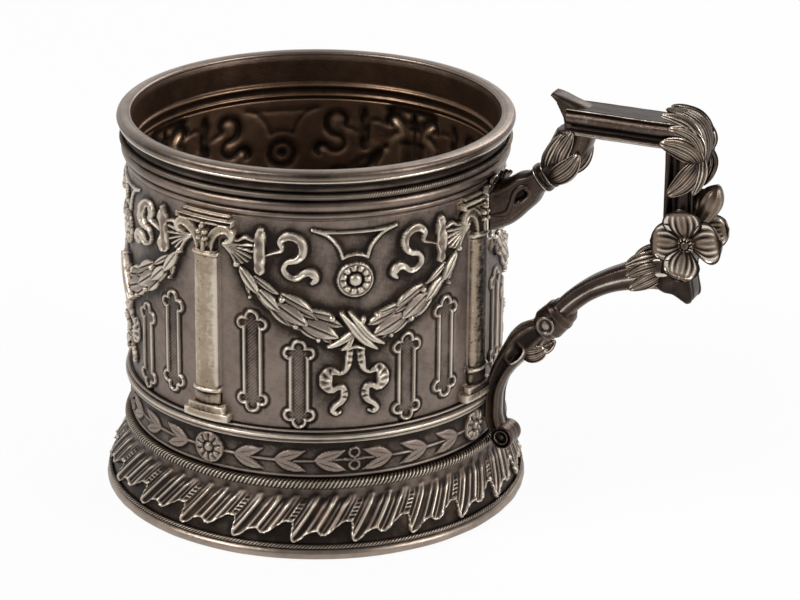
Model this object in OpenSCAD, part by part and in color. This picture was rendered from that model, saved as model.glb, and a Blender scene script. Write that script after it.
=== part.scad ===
// Tea glass holder: a relief wall on a spreading foot, with a cast handle.
// Millimetres, +Z up. The origin is on the table, under the middle of the body.
// The handle stands along +X.

/* [Body] */
// Inside radius of the wall, which the tea glass drops into
bore_r = 36; // [33:0.5:41]
// Thickness of the wall sheet
wall_t = 0.9; // [0.7:0.05:1.3]
// Height from the table to the top of the lip
body_h = 77.7; // [72:0.1:90]
// Height of the foot, up to the lower rope wire
foot_h = 13.1; // [11:0.1:16]
// How far the foot reaches out past the wall
foot_spread = 5.5; // [4:0.1:8]
// Thickness of the foot sheet
foot_t = 0.8; // [0.6:0.05:1.1]
// Thickness of the floor plate
floor_t = 0.8; // [0.6:0.1:1.5]

/* [Mouldings] */
// Height of the lip and neck mouldings together
neck_h = 10.1; // [9.5:0.1:12]
// How far the lip stands out past the wall
lip_proud = 2.1; // [1.6:0.1:3]
// Radius of the rolled lip
lip_r = 1.1; // [0.9:0.05:1.3]
// Radius of the twisted wire under the lip
upper_rope_r = 0.6; // [0.4:0.05:0.7]
// Radius of the twisted wire over the foot
lower_rope_r = 1.1; // [0.8:0.05:1.3]
// Height of the laurel frieze
frieze_h = 7.5; // [6.5:0.1:9]
// Height of the ledge between the frieze and the panels
ledge_h = 2.6; // [2:0.1:3.2]
// Height of the flat ring under the foot
foot_ring_h = 2.3; // [1.6:0.1:3]
// Width of the flat ring under the foot
foot_ring_w = 2.2; // [1.6:0.1:3]
// Radius of the fine wire on the foot ring
foot_bead_r = 0.45; // [0.3:0.05:0.6]

/* [Relief] */
// Turn of the first column away from the handle, in degrees
pattern_turn = -8; // [-20:1:20]
// Width of a column shaft
column_w = 5.3; // [4:0.1:7]
// How far a column shaft stands out from the wall
column_proud = 1.9; // [1.2:0.1:2.4]
// Height of the leafy part of a capital
capital_h = 5.6; // [4.5:0.1:7]
// Width of the slab on top of a capital
abacus_w = 12.4; // [10:0.1:14]
// How far the flat wire patterns stand out from the wall
wire_proud = 0.5; // [0.3:0.05:0.8]
// Width of the raised wire in the patterns
wire_w = 0.55; // [0.4:0.05:0.7]
// How far the garlands stand out from the wall
garland_proud = 1.6; // [1:0.1:2.2]
// How far the ribbons stand out from the wall
ribbon_proud = 1.3; // [0.8:0.1:1.8]
// Depth of the middle of a garland below the neck
garland_drop = 22.2; // [19:0.1:25]
// Rise of a garland from its middle to its ends
garland_rise = 15.1; // [12:0.1:17]
// Radius of the roundel in the middle of a panel
roundel_r = 3.45; // [2.8:0.05:4]
// Length of the inner lancet frames
short_lancet = 17.8; // [14:0.1:19]
// Length of the outer lancet frames
long_lancet = 20.6; // [17:0.1:22]
// Number of pleats round the foot
pleats = 60; // [48:2:72]
// How far the pleats stand out from the foot
pleat_proud = 0.75; // [0.4:0.05:1]

/* [Handle] */
// Reach of the handle from the wall to its outer face
handle_reach = 41.4; // [36:0.1:48]
// Height of the top of the handle bar over the table
handle_h = 86; // [80:0.1:96]
// Depth of the handle bar, seen from the side
bar_depth = 5.3; // [4.5:0.1:6.5]
// Width of the handle bar, seen from above
bar_w = 6.4; // [5.5:0.1:7.5]
// Width of the handle upright, seen from the end
upright_w = 5.8; // [5:0.1:7]
// Width of the socket plate on the wall
socket_w = 10; // [8:0.1:12]
// Radius of the flower
flower_r = 6.9; // [5.5:0.1:8]
// Radius of the scroll at the foot of the handle
scroll_r = 2.8; // [2.2:0.1:3.2]
// Width of the scroll at the foot of the handle
scroll_w = 5.4; // [4.5:0.1:6.5]

/* [Hidden] */
QUARTERS = ["column_1", "column_2", "column_3", "column_4",
            "capital_1", "capital_2", "capital_3", "capital_4",
            "garland_1", "garland_2", "garland_3", "garland_4",
            "ribbons_1", "ribbons_2", "ribbons_3", "ribbons_4",
            "crest_1", "crest_2", "crest_3", "crest_4",
            "lancets_1", "lancets_2", "lancets_3", "lancets_4",
            "laurel_1", "laurel_2", "laurel_3", "laurel_4"];

$fn = 96;
eps = 0.02;          // overrun of the cuts
silver = [0.62, 0.58, 0.54];
dark_silver = [0.42, 0.39, 0.37];
bright_silver = [0.74, 0.71, 0.66];

// Levels and radii of the body
wall_r = bore_r + wall_t;
foot_r = wall_r + foot_spread;
frieze_z = foot_h + 2 * lower_rope_r;
ledge_z = frieze_z + frieze_h;
panel_z = ledge_z + ledge_h;
neck_z = body_h - neck_h;
wall_top = body_h - 2 * lip_r;
rope_seat = lower_rope_r / 2;
upper_rope_z = neck_z + neck_h / 2;
upper_rope_ring = wall_r + 1.7 * upper_rope_r;
rim_z = upper_rope_z + upper_rope_r;

// A panel is the quarter of the wall between two columns
panel_w = wall_r * PI / 2;
panel_h = neck_z - panel_z;
function turn_of(i) = pattern_turn + 90 * (i - 1);
function panel_turn(i) = turn_of(i) + 45;

// A ring of a revolved profile that is kept outside the wall
module outside_wall(z0, z1, reach) {
    intersection() {
        children();
        translate([wall_r, z0]) square([reach, z1 - z0]);
    }
}

module wall_shell() {
    color(silver) difference() {
        translate([0, 0, foot_h]) cylinder(r = wall_r, h = wall_top - foot_h);
        translate([0, 0, foot_h - eps]) cylinder(r = bore_r, h = wall_top - foot_h + 2 * eps);
    }
}

module floor_plate() {
    color(dark_silver) translate([0, 0, foot_h - floor_t]) cylinder(r = flare_r(0) - foot_t, h = floor_t);
}

module mouth_rim() {
    lip_z = body_h - lip_r;
    band_proud = lip_proud - lip_r / 4;
    cove_top = rim_z + lip_r;
    cove_proud = lip_proud - lip_r;
    color(bright_silver) rotate_extrude() union() {
        translate([wall_r + lip_proud - lip_r, lip_z]) circle(r = lip_r);
        translate([wall_r, cove_top]) square([band_proud, lip_z - cove_top]);
        translate([wall_r, rim_z]) square([cove_proud - wire_w, cove_top - rim_z]);
    }
}

module neck_moulding() {
    top = upper_rope_z - upper_rope_r;
    bead = (top - neck_z) / 4.6;
    color(silver) rotate_extrude() outside_wall(neck_z, top, lip_proud) union() {
        translate([wall_r, neck_z]) square([bead / 2, top - neck_z]);
        translate([wall_r + bead / 3, top - 1.4 * bead]) circle(r = bead);
        translate([wall_r - bead / 8, neck_z + 0.9 * bead]) circle(r = 0.8 * bead);
    }
}

module upper_rope_wire() {
    color(bright_silver) translate([0, 0, upper_rope_z])
        rotate_extrude() translate([upper_rope_ring, 0]) circle(r = upper_rope_r);
}

module ledge_moulding() {
    bead = ledge_h / 3.2;
    color(bright_silver) rotate_extrude() outside_wall(ledge_z, panel_z, lip_proud) union() {
        translate([wall_r, ledge_z]) square([bead * 0.8, ledge_h]);
        translate([wall_r + bead / 4, ledge_z + bead]) circle(r = bead);
        translate([wall_r + bead * 0.7, panel_z - bead]) circle(r = bead);
    }
}

module lower_rope_wire() {
    color(bright_silver) translate([0, 0, foot_h + lower_rope_r])
        rotate_extrude() outside_wall(-lower_rope_r, lower_rope_r, 2 * lower_rope_r)
            translate([wall_r + rope_seat, 0]) circle(r = lower_rope_r);
}

// The foot sheet is an ogee: t runs from 0 at its top to 1 on the foot ring
flare_top_share = 0.07;
flare_toe_share = 0.78;
flare_steps = 14;
function flare_bend(t) = (1 - cos(180 * pow(t, 0.9))) / 2;
function flare_share(t) = flare_top_share + (flare_toe_share - flare_top_share) * flare_bend(t);
function flare_r(t) = wall_r + foot_spread * flare_share(t);
function flare_z(t) = foot_h - (foot_h - foot_ring_h) * t;

module foot_flare() {
    outer = [for (k = [0:flare_steps]) [flare_r(k / flare_steps), flare_z(k / flare_steps)]];
    inner = [for (k = [flare_steps:-1:0]) outer[k] - [foot_t, 0]];
    color(dark_silver) rotate_extrude() polygon(concat(outer, inner));
}

module foot_ring() {
    edge_r = foot_ring_h / 2;
    color(bright_silver) rotate_extrude() intersection() {
        union() {
            translate([foot_r - edge_r, edge_r]) circle(r = edge_r);
            translate([foot_r - foot_ring_w, 0]) square([foot_ring_w - edge_r, foot_ring_h]);
        }
        translate([foot_r - foot_ring_w, 0]) square([foot_ring_w, foot_ring_h]);
    }
}

module foot_bead_wire() {
    color(bright_silver) translate([0, 0, foot_ring_h + foot_bead_r])
        rotate_extrude() translate([flare_r(1) + foot_bead_r, 0]) circle(r = foot_bead_r);
}

// Pleats: slanted folds that stand on the foot sheet, with a jagged hem
ruffle_top_share = 0.2;
ruffle_hem_share = 0.74;
ruffle_rows = 4;
pleat_steps = 4;
pleat_slant_share = 0.9;
pleat_height_shares = [1, 0.35, 0.75, 0.2];
pleat_hem_shares = [1, 0.93, 0.97, 0.84];
function ruffle_hem(k) = ruffle_hem_share * pleat_hem_shares[k % pleat_steps];
function ruffle_t(k, j) = ruffle_top_share + (ruffle_hem(k) - ruffle_top_share) * j / ruffle_rows;
function ruffle_pt(k, j, lift) =
    let(t = ruffle_t(k, j))
    let(a = 360 * (k / pleat_steps - pleat_slant_share * j / ruffle_rows) / pleats)
    let(fade = j == 0 ? 0.15 : 1)
    let(r = flare_r(t) + lift * fade * pleat_proud * pleat_height_shares[k % pleat_steps])
    [r * cos(a), r * sin(a), flare_z(t)];

module foot_ruffle() {
    n = pleats * pleat_steps;
    m = ruffle_rows + 1;
    points = [for (lift = [0, 1]) for (k = [0:n - 1]) for (j = [0:ruffle_rows]) ruffle_pt(k, j, lift)];
    function at(lift, k, j) = lift * n * m + (k % n) * m + j;
    skin = [for (k = [0:n - 1]) for (j = [0:ruffle_rows - 1]) for (f = [
        [at(1, k, j), at(1, k + 1, j), at(1, k + 1, j + 1)],
        [at(1, k, j), at(1, k + 1, j + 1), at(1, k, j + 1)],
        [at(0, k, j), at(0, k + 1, j + 1), at(0, k + 1, j)],
        [at(0, k, j), at(0, k, j + 1), at(0, k + 1, j + 1)]]) f];
    edges = [for (k = [0:n - 1]) for (f = [
        [at(0, k, 0), at(0, k + 1, 0), at(1, k + 1, 0)],
        [at(0, k, 0), at(1, k + 1, 0), at(1, k, 0)],
        [at(1, k, ruffle_rows), at(1, k + 1, ruffle_rows), at(0, k + 1, ruffle_rows)],
        [at(1, k, ruffle_rows), at(0, k + 1, ruffle_rows), at(0, k, ruffle_rows)]]) f];
    color(silver) polyhedron(points, concat(skin, edges));
}

// Places flat work on the wall: x runs round it, y runs up and z runs outwards
module at_wall(turn, z) {
    rotate([0, 0, turn]) translate([wall_r, 0, z]) rotate([90, 0, 90]) children();
}

// Keeps what lies between the wall and a given height over it
module on_wall(proud) {
    intersection() {
        children();
        difference() {
            translate([0, 0, foot_h]) cylinder(r = wall_r + proud, h = wall_top - foot_h);
            translate([0, 0, foot_h - eps]) cylinder(r = wall_r, h = wall_top - foot_h + 2 * eps);
        }
    }
}

module raised(proud) {
    translate([0, 0, -column_proud]) linear_extrude(height = proud + 2 * column_proud) children();
}

// Column: two steps, a drum, a ring, the shaft and a collar
step_h = column_w * 0.31;
drum_h = column_w * 0.4;
ring_h = column_w * 0.2;
abacus_h = capital_h * 0.2;
abacus_z = neck_z - abacus_h - ring_h * 0.8;
capital_z = abacus_z - capital_h;
base_z = panel_z + 2 * step_h;

module column(i) {
    r = column_w / 2;
    axis = wall_r + column_proud - r;
    color(bright_silver) difference() {
        rotate([0, 0, turn_of(i)]) union() {
            translate([axis, 0, base_z + drum_h / 2]) cylinder(r = r, h = capital_z - base_z - drum_h / 2);
            translate([axis, 0, base_z]) cylinder(r = r * 1.08, h = drum_h);
            translate([axis, 0, base_z + drum_h]) cylinder(r = r * 1.2, h = ring_h);
            translate([axis, 0, capital_z - ring_h]) cylinder(r = r * 1.2, h = ring_h);
            translate([axis - r, -r * 1.7, panel_z + step_h]) cube([r * 2.25, r * 3.4, step_h]);
            translate([axis - r, -r * 2.1, panel_z]) cube([r * 2.4, r * 4.2, step_h]);
        }
        translate([0, 0, panel_z - eps]) cylinder(r = wall_r, h = neck_z - panel_z);
    }
}

// Capital: two leaves that curl out under the slab, with a beaded stalk between
module capital(i) {
    w = abacus_w / 2;
    leaf_r = capital_h * 0.95;
    stalk_r = capital_h * 0.13;
    color(bright_silver) {
        on_wall(column_proud + wire_proud) at_wall(turn_of(i), abacus_z) raised(column_proud)
            translate([-w, 0]) square([abacus_w, abacus_h]);
        on_wall(column_proud) at_wall(turn_of(i), capital_z) raised(column_proud) {
            for (side = [-1, 1]) difference() {
                translate([side * w / 2, capital_h / 2]) square([w, capital_h], center = true);
                translate([side * (w * 0.42 + leaf_r), capital_h - leaf_r - wire_w * 1.6])
                    circle(r = leaf_r);
                translate([side * (stalk_r + wire_w * 0.2 - leaf_r * 0.3), capital_h * 0.6])
                    circle(r = leaf_r * 0.42);
            }
            translate([-stalk_r / 2, 0]) square([stalk_r, capital_h - stalk_r]);
            for (x = [-1.1, 0, 1.1])
                translate([x * stalk_r, capital_h - stalk_r * (2.2 - abs(x))]) circle(r = stalk_r * 0.9);
        }
    }
}

// A strip of relief that follows a path on the wall. Each station has the
// distance round the wall, the height, the half width and the height over the wall.
function wall_pt(turn, s, z, lift) =
    let(a = turn + s / wall_r * 180 / PI)
    [(wall_r + lift) * cos(a), (wall_r + lift) * sin(a), z];
strip_width_shares = [1, 0.7, 0, -0.7, -1];
strip_height_shares = [0, 0.7, 1, 0.7, 0];

module strip(turn, st) {
    n = len(st);
    m = len(strip_width_shares);
    points = [for (i = [0:n - 1])
        let(d = st[min(i + 1, n - 1)] - st[max(i - 1, 0)])
        let(size = norm([d[0], d[1]]))
        for (k = [0:m - 1])
        let(side = st[i][2] * strip_width_shares[k])
            wall_pt(turn, st[i][0] - d[1] / size * side, st[i][1] + d[0] / size * side,
                    st[i][3] * strip_height_shares[k])];
    sides = [for (i = [0:n - 2]) for (k = [0:m - 1])
        let(a = i * m + k, b = i * m + (k + 1) % m)
        for (f = [[a, a + m, b + m], [a, b + m, b]]) f];
    caps = [[for (k = [0:m - 1]) k], [for (k = [m - 1:-1:0]) (n - 1) * m + k]];
    polyhedron(points, concat(sides, caps));
}

// Smooth curve through a list of points, by Catmull and Rom's rule
function spline_at(p, i, t) =
    let(a = p[max(i - 1, 0)], b = p[i], c = p[i + 1], d = p[min(i + 2, len(p) - 1)])
    b + (c - a) * t / 2 + (a - b * 2.5 + c * 2 - d / 2) * t * t + (d - a + (b - c) * 3) * t * t * t / 2;
function spline(p, steps) =
    concat([for (i = [0:len(p) - 2]) for (k = [0:steps - 1]) spline_at(p, i, k / steps)],
           [p[len(p) - 1]]);

// The first panel's relief stops where the handle's socket sits on the wall
module clear_of_socket(i) {
    if (i == 1) difference() {
        children();
        socket_blank();
        column(1);
    }
    else children();
}

// Garland: a swag of leaf bunches between two capitals
garland_half_share = 0.41;
garland_steps = 40;
bunches = 7;
function garland_z(u) = neck_z - garland_drop + garland_rise * pow(abs(u), 2.4);
function bunch(u) = let(v = abs(u) * bunches) 1 - 0.22 * (v - floor(v));
function garland_w(u) = garland_proud * (0.5 + 1.35 * (1 - pow(abs(u), 2.2))) * bunch(u);
function garland_lift(u) = garland_proud * (1 - 0.45 * pow(abs(u), 4)) * bunch(u);

module garland(i) {
    half = panel_w * garland_half_share;
    color(silver) clear_of_socket(i) {
        strip(panel_turn(i), [for (k = [-garland_steps / 2:garland_steps / 2])
            let(u = 2 * k / garland_steps)
            [u * half, garland_z(u), garland_w(u), garland_lift(u)]]);
        for (side = [-1, 1]) for (fan = [0:2]) strip(panel_turn(i), [for (k = [0:4])
            let(u = side * (0.84 + 0.16 * k / 4))
            let(spread = (fan - 0.4) * garland_proud * (0.8 + 0.5 * k / 4))
            [u * half, garland_z(u) + spread, wire_w * 0.8, wire_proud * 1.4]]);
        for (side = [-1, 1]) for (band = [-1, 1]) strip(panel_turn(i), [for (k = [-2:2])
            let(x = side * k * garland_proud + band * garland_proud * 0.8)
            let(lift = garland_proud + wire_proud * (1 - k * k / 8))
            [x, garland_z(0) + k * garland_proud, wire_w, lift]]);
    }
}

// Ribbon paths, as shares of the panel's width and height
scroll_shares = [[0.21, 0.82], [0.232, 0.855], [0.212, 0.915], [0.175, 0.91], [0.162, 0.865],
                 [0.186, 0.81], [0.22, 0.80], [0.231, 0.76], [0.206, 0.73], [0.17, 0.75],
                 [0.137, 0.765], [0.122, 0.715]];
loop_shares = [[0.307, 0.765], [0.312, 0.81], [0.312, 0.87], [0.306, 0.92]];
tail_shares = [[0.012, 0.385], [0.03, 0.325], [0.045, 0.285], [0.083, 0.315], [0.11, 0.27], [0.098, 0.2],
               [0.06, 0.215], [0.036, 0.185], [0.044, 0.14], [0.075, 0.11], [0.062, 0.08]];
scroll_half_shares = [0.4, 1, 1.1, 0.9, 1, 0.7, 0.5, 0.8, 1, 0.7, 0.9, 0.6];
tail_half_shares = [0.5, 0.8, 0.6, 1, 1.2, 1.1, 0.6, 0.8, 0.8, 0.7, 0.5];
loop_half_shares = [1.5, 1.7, 1.7, 1.3];
ribbon_steps = 2;

function ribbon_path(places, halves, side) = [for (k = [0:len(places) - 1])
    let(half = halves[k] * ribbon_proud * 0.72)
    [side * places[k][0] * panel_w, panel_z + places[k][1] * panel_h, half, ribbon_proud]];

module ribbons(i) {
    color(bright_silver) clear_of_socket(i) for (side = [-1, 1]) {
        strip(panel_turn(i), spline(ribbon_path(scroll_shares, scroll_half_shares, side), ribbon_steps));
        strip(panel_turn(i), spline(ribbon_path(loop_shares, loop_half_shares, side), ribbon_steps));
        strip(panel_turn(i), spline(ribbon_path(tail_shares, tail_half_shares, side), ribbon_steps));
    }
}

// Crest: a wire keystone frame over a petalled roundel
roundel_z = panel_z + 0.72 * panel_h;
keystone_h = 1.565 * roundel_r;
keystone_z = roundel_z + roundel_r + wire_w * 1.6;
keystone_top_half = 2.3 * roundel_r;
petals = 10;

module keystone(inset) {
    side_r = keystone_h * 1.4;
    difference() {
        translate([-keystone_top_half + inset, inset])
            square([2 * (keystone_top_half - inset), keystone_h - 2 * inset]);
        for (side = [-1, 1]) translate([side * (roundel_r * 0.7 + side_r), -keystone_h * 0.3])
            circle(r = side_r + inset);
    }
}

module crest(i) {
    petal_r = roundel_r * 0.2;
    color(bright_silver) on_wall(wire_proud) {
        at_wall(panel_turn(i), keystone_z) raised(wire_proud) difference() {
            keystone(0);
            keystone(wire_w);
        }
        at_wall(panel_turn(i), roundel_z) raised(wire_proud) {
            difference() {
                circle(r = roundel_r);
                circle(r = roundel_r - wire_w);
            }
            for (k = [0:petals - 1])
                rotate(360 * k / petals) translate([roundel_r * 0.62, 0]) circle(r = petal_r);
            circle(r = roundel_r * 0.25);
        }
    }
}

// Lancets: wire frames with three round lobes at each end
lancet_half = short_lancet * 0.096;
lobe_r = lancet_half * 0.74;
long_turn_share = 0.3406;
short_turn_share = 0.1822;
function lancet_turn(long) = 90 * (long ? long_turn_share : short_turn_share);
function lancet_foot(long) = panel_z + (long ? short_lancet * 0.16 : wire_w * 0.4);
function lancet_z(long) = lancet_foot(long) + (long ? long_lancet : short_lancet) / 2;

module lancet_outline(length, inset) {
    reach = length / 2 - lobe_r;
    square([2 * (lancet_half - inset), 2 * reach - lobe_r], center = true);
    for (end = [-1, 1]) {
        translate([0, end * reach]) circle(r = lobe_r - inset);
        for (side = [-1, 1]) translate([side * 1.4 * lobe_r, end * (reach - lobe_r)])
            circle(r = lobe_r - inset);
        translate([0, end * (reach - lobe_r)]) square([2 * lobe_r, 2 * (lobe_r - inset)], center = true);
    }
}

module lancets(i) {
    color(bright_silver) on_wall(wire_proud) for (long = [false, true]) for (side = [-1, 1])
        at_wall(panel_turn(i) + side * lancet_turn(long), lancet_z(long)) raised(wire_proud) difference() {
            lancet_outline(long ? long_lancet : short_lancet, 0);
            lancet_outline(long ? long_lancet : short_lancet, wire_w);
        }
}

// Laurel: pairs of leaves that run from a rosette to a knot in mid panel
leaf_pairs = 3;
leaf_pitch = panel_w * 0.139;
leaf_length = leaf_pitch * 0.78;
leaf_w = frieze_h * 0.27;
frieze_mid = frieze_z + frieze_h / 2;

module leaf_outline(length, width) {
    r = (length * length / 4 + width * width / 4) / width;
    intersection() {
        translate([length / 2, r - width / 2]) circle(r = r);
        translate([length / 2, width / 2 - r]) circle(r = r);
    }
}

module laurel(i) {
    rosette = frieze_h * 0.42;
    color(silver) on_wall(wire_proud) {
        at_wall(turn_of(i), frieze_mid) raised(wire_proud) {
            difference() {
                circle(r = rosette);
                circle(r = rosette - wire_w);
            }
            for (k = [0:petals - 1])
                rotate(360 * k / petals) translate([rosette * 0.66, 0]) circle(r = rosette * 0.19);
            circle(r = rosette * 0.25);
        }
        at_wall(turn_of(i) + 45, frieze_mid) raised(wire_proud) for (end = [-1, 1])
            translate([0, end * rosette * 0.42]) difference() {
                circle(r = rosette * 0.46);
                circle(r = rosette * 0.46 - wire_w);
            }
        for (side = [-1, 1]) for (k = [0:leaf_pairs - 1])
            at_wall(turn_of(i) + side * (rosette + wire_w + k * leaf_pitch) / wall_r * 180 / PI, frieze_mid)
                raised(wire_proud) rotate(side < 0 ? 180 : 0) {
                    for (up = [-1, 1]) translate([wire_w * 0.6, up * wire_w * 0.3])
                        rotate(up * 18) leaf_outline(leaf_length, leaf_w);
                    translate([0, -wire_w / 2]) square([leaf_pitch * 0.5, wire_w]);
                }
    }
}

// Bars of the handle are swept. Each station has x, z, heading, half depth,
// half width and the sideways place of the bar's middle.
sweep_sides = 16;
squareness = 0.72;
function soft(c) = sign(c) * pow(abs(c), squareness);
function sweep_ring(st, sides) = [for (k = [0:sides - 1])
    let(u = st[3] * soft(cos(360 * k / sides)), v = st[4] * soft(sin(360 * k / sides)))
    [st[0] - u * sin(st[2]), st[5] + v, st[1] + u * cos(st[2])]];

module swept(stations, sides = sweep_sides) {
    n = len(stations);
    points = [for (st = stations) for (p = sweep_ring(st, sides)) p];
    skin = [for (i = [0:n - 2]) for (k = [0:sides - 1])
        let(a = i * sides + k, b = i * sides + (k + 1) % sides)
        for (f = [[a, b, b + sides], [a, b + sides, a + sides]]) f];
    caps = [[for (k = [sides - 1:-1:0]) k], [for (k = [0:sides - 1]) (n - 1) * sides + k]];
    polyhedron(points, concat(skin, caps));
}

// A leaf is a sweep that swells and tapers between two points. Its half depth
// lies in the handle's plane, its half width across it; bow bends it sideways.
leaf_sides = 8;
leaf_rings = 6;
function swell(t) = max(0.14, pow(sin(180 * t), 0.7));
module leaf(from, to, half_depth, half_width, y = 0, bow = 0) {
    d = to - from;
    heading = atan2(d[1], d[0]);
    n = [-sin(heading), cos(heading)];
    swept([for (k = [0:leaf_rings])
        let(t = (k + 0.15) / (leaf_rings + 0.3), c = from + d * t + n * bow * sin(180 * t))
        let(turn = atan2(bow * PI * cos(180 * t), norm(d)))
        [c[0], c[1], heading + turn, half_depth * swell(t), half_width * swell(t), y]], leaf_sides);
}

// Handle points, as shares of its reach from the wall and its height. The share of
// the socket is tied to the body's neck, and the levels over it reach up to the bar.
socket_share = 0.742;
socket_z = neck_z - bar_depth * 0.715;
bar_share = 1 - (1 - socket_share) * bar_depth / (handle_h - socket_z);
function level(share) = share < socket_share ? socket_z * share / socket_share :
    socket_z + (handle_h - socket_z) * (share - socket_share) / (1 - socket_share);
function place(share) = [wall_r + share[0] * handle_reach, level(share[1])];

upright_depth = bar_depth * 0.98;

// Upper run: neck, collar and riser. Each row has the place shares, then the
// half depth and the half width as shares of the bar's depth and width.
upper_shares = [[0.055, socket_share, 0.98, 0.62], [0.115, 0.746, 0.74, 0.5], [0.2, 0.782, 0.6, 0.43],
                [0.268, 0.817, 0.49, 0.4], [0.3, 0.832, 0.49, 0.4], [0.385, 0.886, 0.6, 0.46],
                [0.432, bar_share, 0.7, 0.47]];
// Lower run: arm, knot and leg
lower_shares = [[1 - upright_depth / handle_reach, 0.648, 0.71, 0.42],
                [0.775, 0.638, 0.6, 0.41], [0.679, 0.614, 0.47, 0.39],
                [0.56, 0.58, 0.44, 0.38], [0.464, 0.547, 0.43, 0.38], [0.39, 0.514, 0.42, 0.37],
                [0.35, 0.494, 0.42, 0.37], [0.297, 0.463, 0.42, 0.37], [0.232, 0.43, 0.4, 0.38],
                [0.142, 0.385, 0.36, 0.38], [0.086, 0.335, 0.3, 0.38], [0.064, 0.262, 0.26, 0.38],
                [0.066, 0.215, 0.26, 0.38]];
run_steps = 2;

function run_rows(rows) = [for (r = rows) let(p = place(r)) [p[0], p[1], r[2] * bar_depth, r[3] * bar_w]];
function run_points(rows) = spline(run_rows(rows), run_steps);
function run_heading(p, i) = let(d = p[min(i + 1, len(p) - 1)] - p[max(i - 1, 0)]) atan2(d[1], d[0]);
// The first and last headings are given, so that a run ends square to what it meets
function run(rows, first, last) = let(p = run_points(rows)) [for (i = [0:len(p) - 1])
    let(heading = i == 0 ? first : (i == len(p) - 1 ? last : run_heading(p, i)))
    [p[i][0], p[i][1], heading, p[i][2], p[i][3], 0]];
function part_of(run, a, b) = [for (i = [a * run_steps:b * run_steps]) run[i]];
function swollen(st, much) = [for (i = [0:len(st) - 1])
    let(f = 1 + much * sin(180 * i / (len(st) - 1)))
    [st[i][0], st[i][1], st[i][2], st[i][3] * f, st[i][4] * f, 0]];

upper_run = run(upper_shares, 0, 90);
lower_run = run(lower_shares, 180, -90);
neck_run = part_of(upper_run, 0, 3);
collar_run = part_of(upper_run, 3, 4);
riser_run = part_of(upper_run, 4, 6);
arm_run = part_of(lower_run, 0, 6);
knot_run = part_of(lower_run, 6, 7);
leg_run = part_of(lower_run, 7, 12);

upright_out = wall_r + handle_reach;
upright_in = upright_out - upright_depth;
bar_top = handle_h;
bar_low = handle_h - bar_depth;
bar_start = riser_run[len(riser_run) - 1][0] - 0.7 * bar_depth;
socket_proud = place(upper_shares[0])[0] - wall_r;
socket_top = bar_depth * 1.06;
corner_z = place(lower_shares[0])[1] + 0.72 * bar_depth;

// Socket: the plate on the wall that the neck grows from
module socket_blank() {
    mid = place(upper_shares[0])[1];
    w = socket_w / 2;
    depth = socket_proud + wall_t;
    translate([wall_r - wall_t, 0, mid]) rotate([90, 0, 90]) linear_extrude(height = depth) {
        square([socket_w, 1.5 * socket_top], center = true);
        translate([0, socket_top * 0.75]) circle(r = w * 0.8);
        for (side = [-1, 1]) translate([side * w * 0.62, -socket_top * 0.75]) circle(r = w * 0.38);
    }
}

module handle_socket() {
    color(silver) difference() {
        socket_blank();
        cylinder(r = wall_r, h = body_h);
        neck_moulding();
        column(1);
        capital(1);
    }
}

module socket_drop() {
    mid = place(upper_shares[0])[1];
    top = mid - 1.13 * socket_top;
    r = socket_w * 0.2;
    color(bright_silver) difference() {
        union() {
            translate([wall_r, 0, top - r * 0.8]) sphere(r = r);
            translate([wall_r, 0, top - r * 2.1]) sphere(r = r * 0.62);
        }
        cylinder(r = wall_r, h = body_h);
        socket_blank();
        column(1);
    }
}

module handle_neck() {
    color(silver) swept(neck_run);
}

module neck_collar() {
    color(bright_silver) swept(swollen(collar_run, 0.22));
}

module riser() {
    color(silver) swept(riser_run);
}

// Ridged section of the bar and the upright: x across, y in depth
module ridged_section(width, depth) {
    ridge = depth * 0.17;
    square([width - ridge, depth], center = true);
    for (side = [-1, 1]) {
        translate([side * (width / 2 - ridge), depth / 2 - ridge]) circle(r = ridge);
        translate([side * (width / 2 - ridge * 1.2), -depth * 0.12]) circle(r = ridge * 1.2);
        translate([side * (width / 2 - ridge), ridge - depth / 2]) circle(r = ridge);
    }
}

// Everything past the mitre of the bar and the upright, on the upright's side
module past_mitre() {
    reach = 2 * handle_h;
    angle = atan2(bar_depth, upright_depth);
    translate([upright_in, 0, bar_low]) rotate([0, -angle, 0])
        translate([-reach, -reach, -reach]) cube([2 * reach, 2 * reach, reach]);
}

module top_bar() {
    color(bright_silver) difference() {
        translate([bar_start, 0, (bar_top + bar_low) / 2]) rotate([90, 0, 90])
            linear_extrude(height = upright_out - bar_start) ridged_section(bar_w, bar_depth);
        past_mitre();
    }
}

module upright() {
    color(bright_silver) intersection() {
        translate([(upright_in + upright_out) / 2, 0, corner_z]) rotate([0, 0, 90])
            linear_extrude(height = bar_top - corner_z) ridged_section(upright_w, upright_depth);
        past_mitre();
    }
}

module lower_corner() {
    low = place(lower_shares[0])[1] - 0.72 * bar_depth;
    tip = 0.42 * bar_depth;
    color(silver) translate([0, upright_w / 2, 0]) rotate([90, 0, 0]) linear_extrude(height = upright_w)
        polygon([[upright_in, low], [upright_in, corner_z], [upright_out, corner_z],
                 [upright_out + tip / 3, low - tip / 3], [upright_out - tip / 4, low - tip]]);
}

// Spur: a pointed curl for the thumb at the inner end of the bar
module thumb_spur() {
    back = bar_depth * 0.62;
    rise = bar_depth * 0.24;
    color(bright_silver) translate([0, bar_w * 0.36, 0]) rotate([90, 0, 0])
        linear_extrude(height = bar_w * 0.72) difference() {
            polygon([[bar_start, bar_low], [bar_start - back / 4, bar_low],
                     [bar_start - back, bar_top + rise], [bar_start, bar_top + rise * 0.8]]);
            translate([bar_start - back * 1.25, bar_low + bar_depth * 0.36]) circle(r = back * 0.8);
        }
}

module lower_arm() {
    color(silver) swept(arm_run);
}

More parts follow.
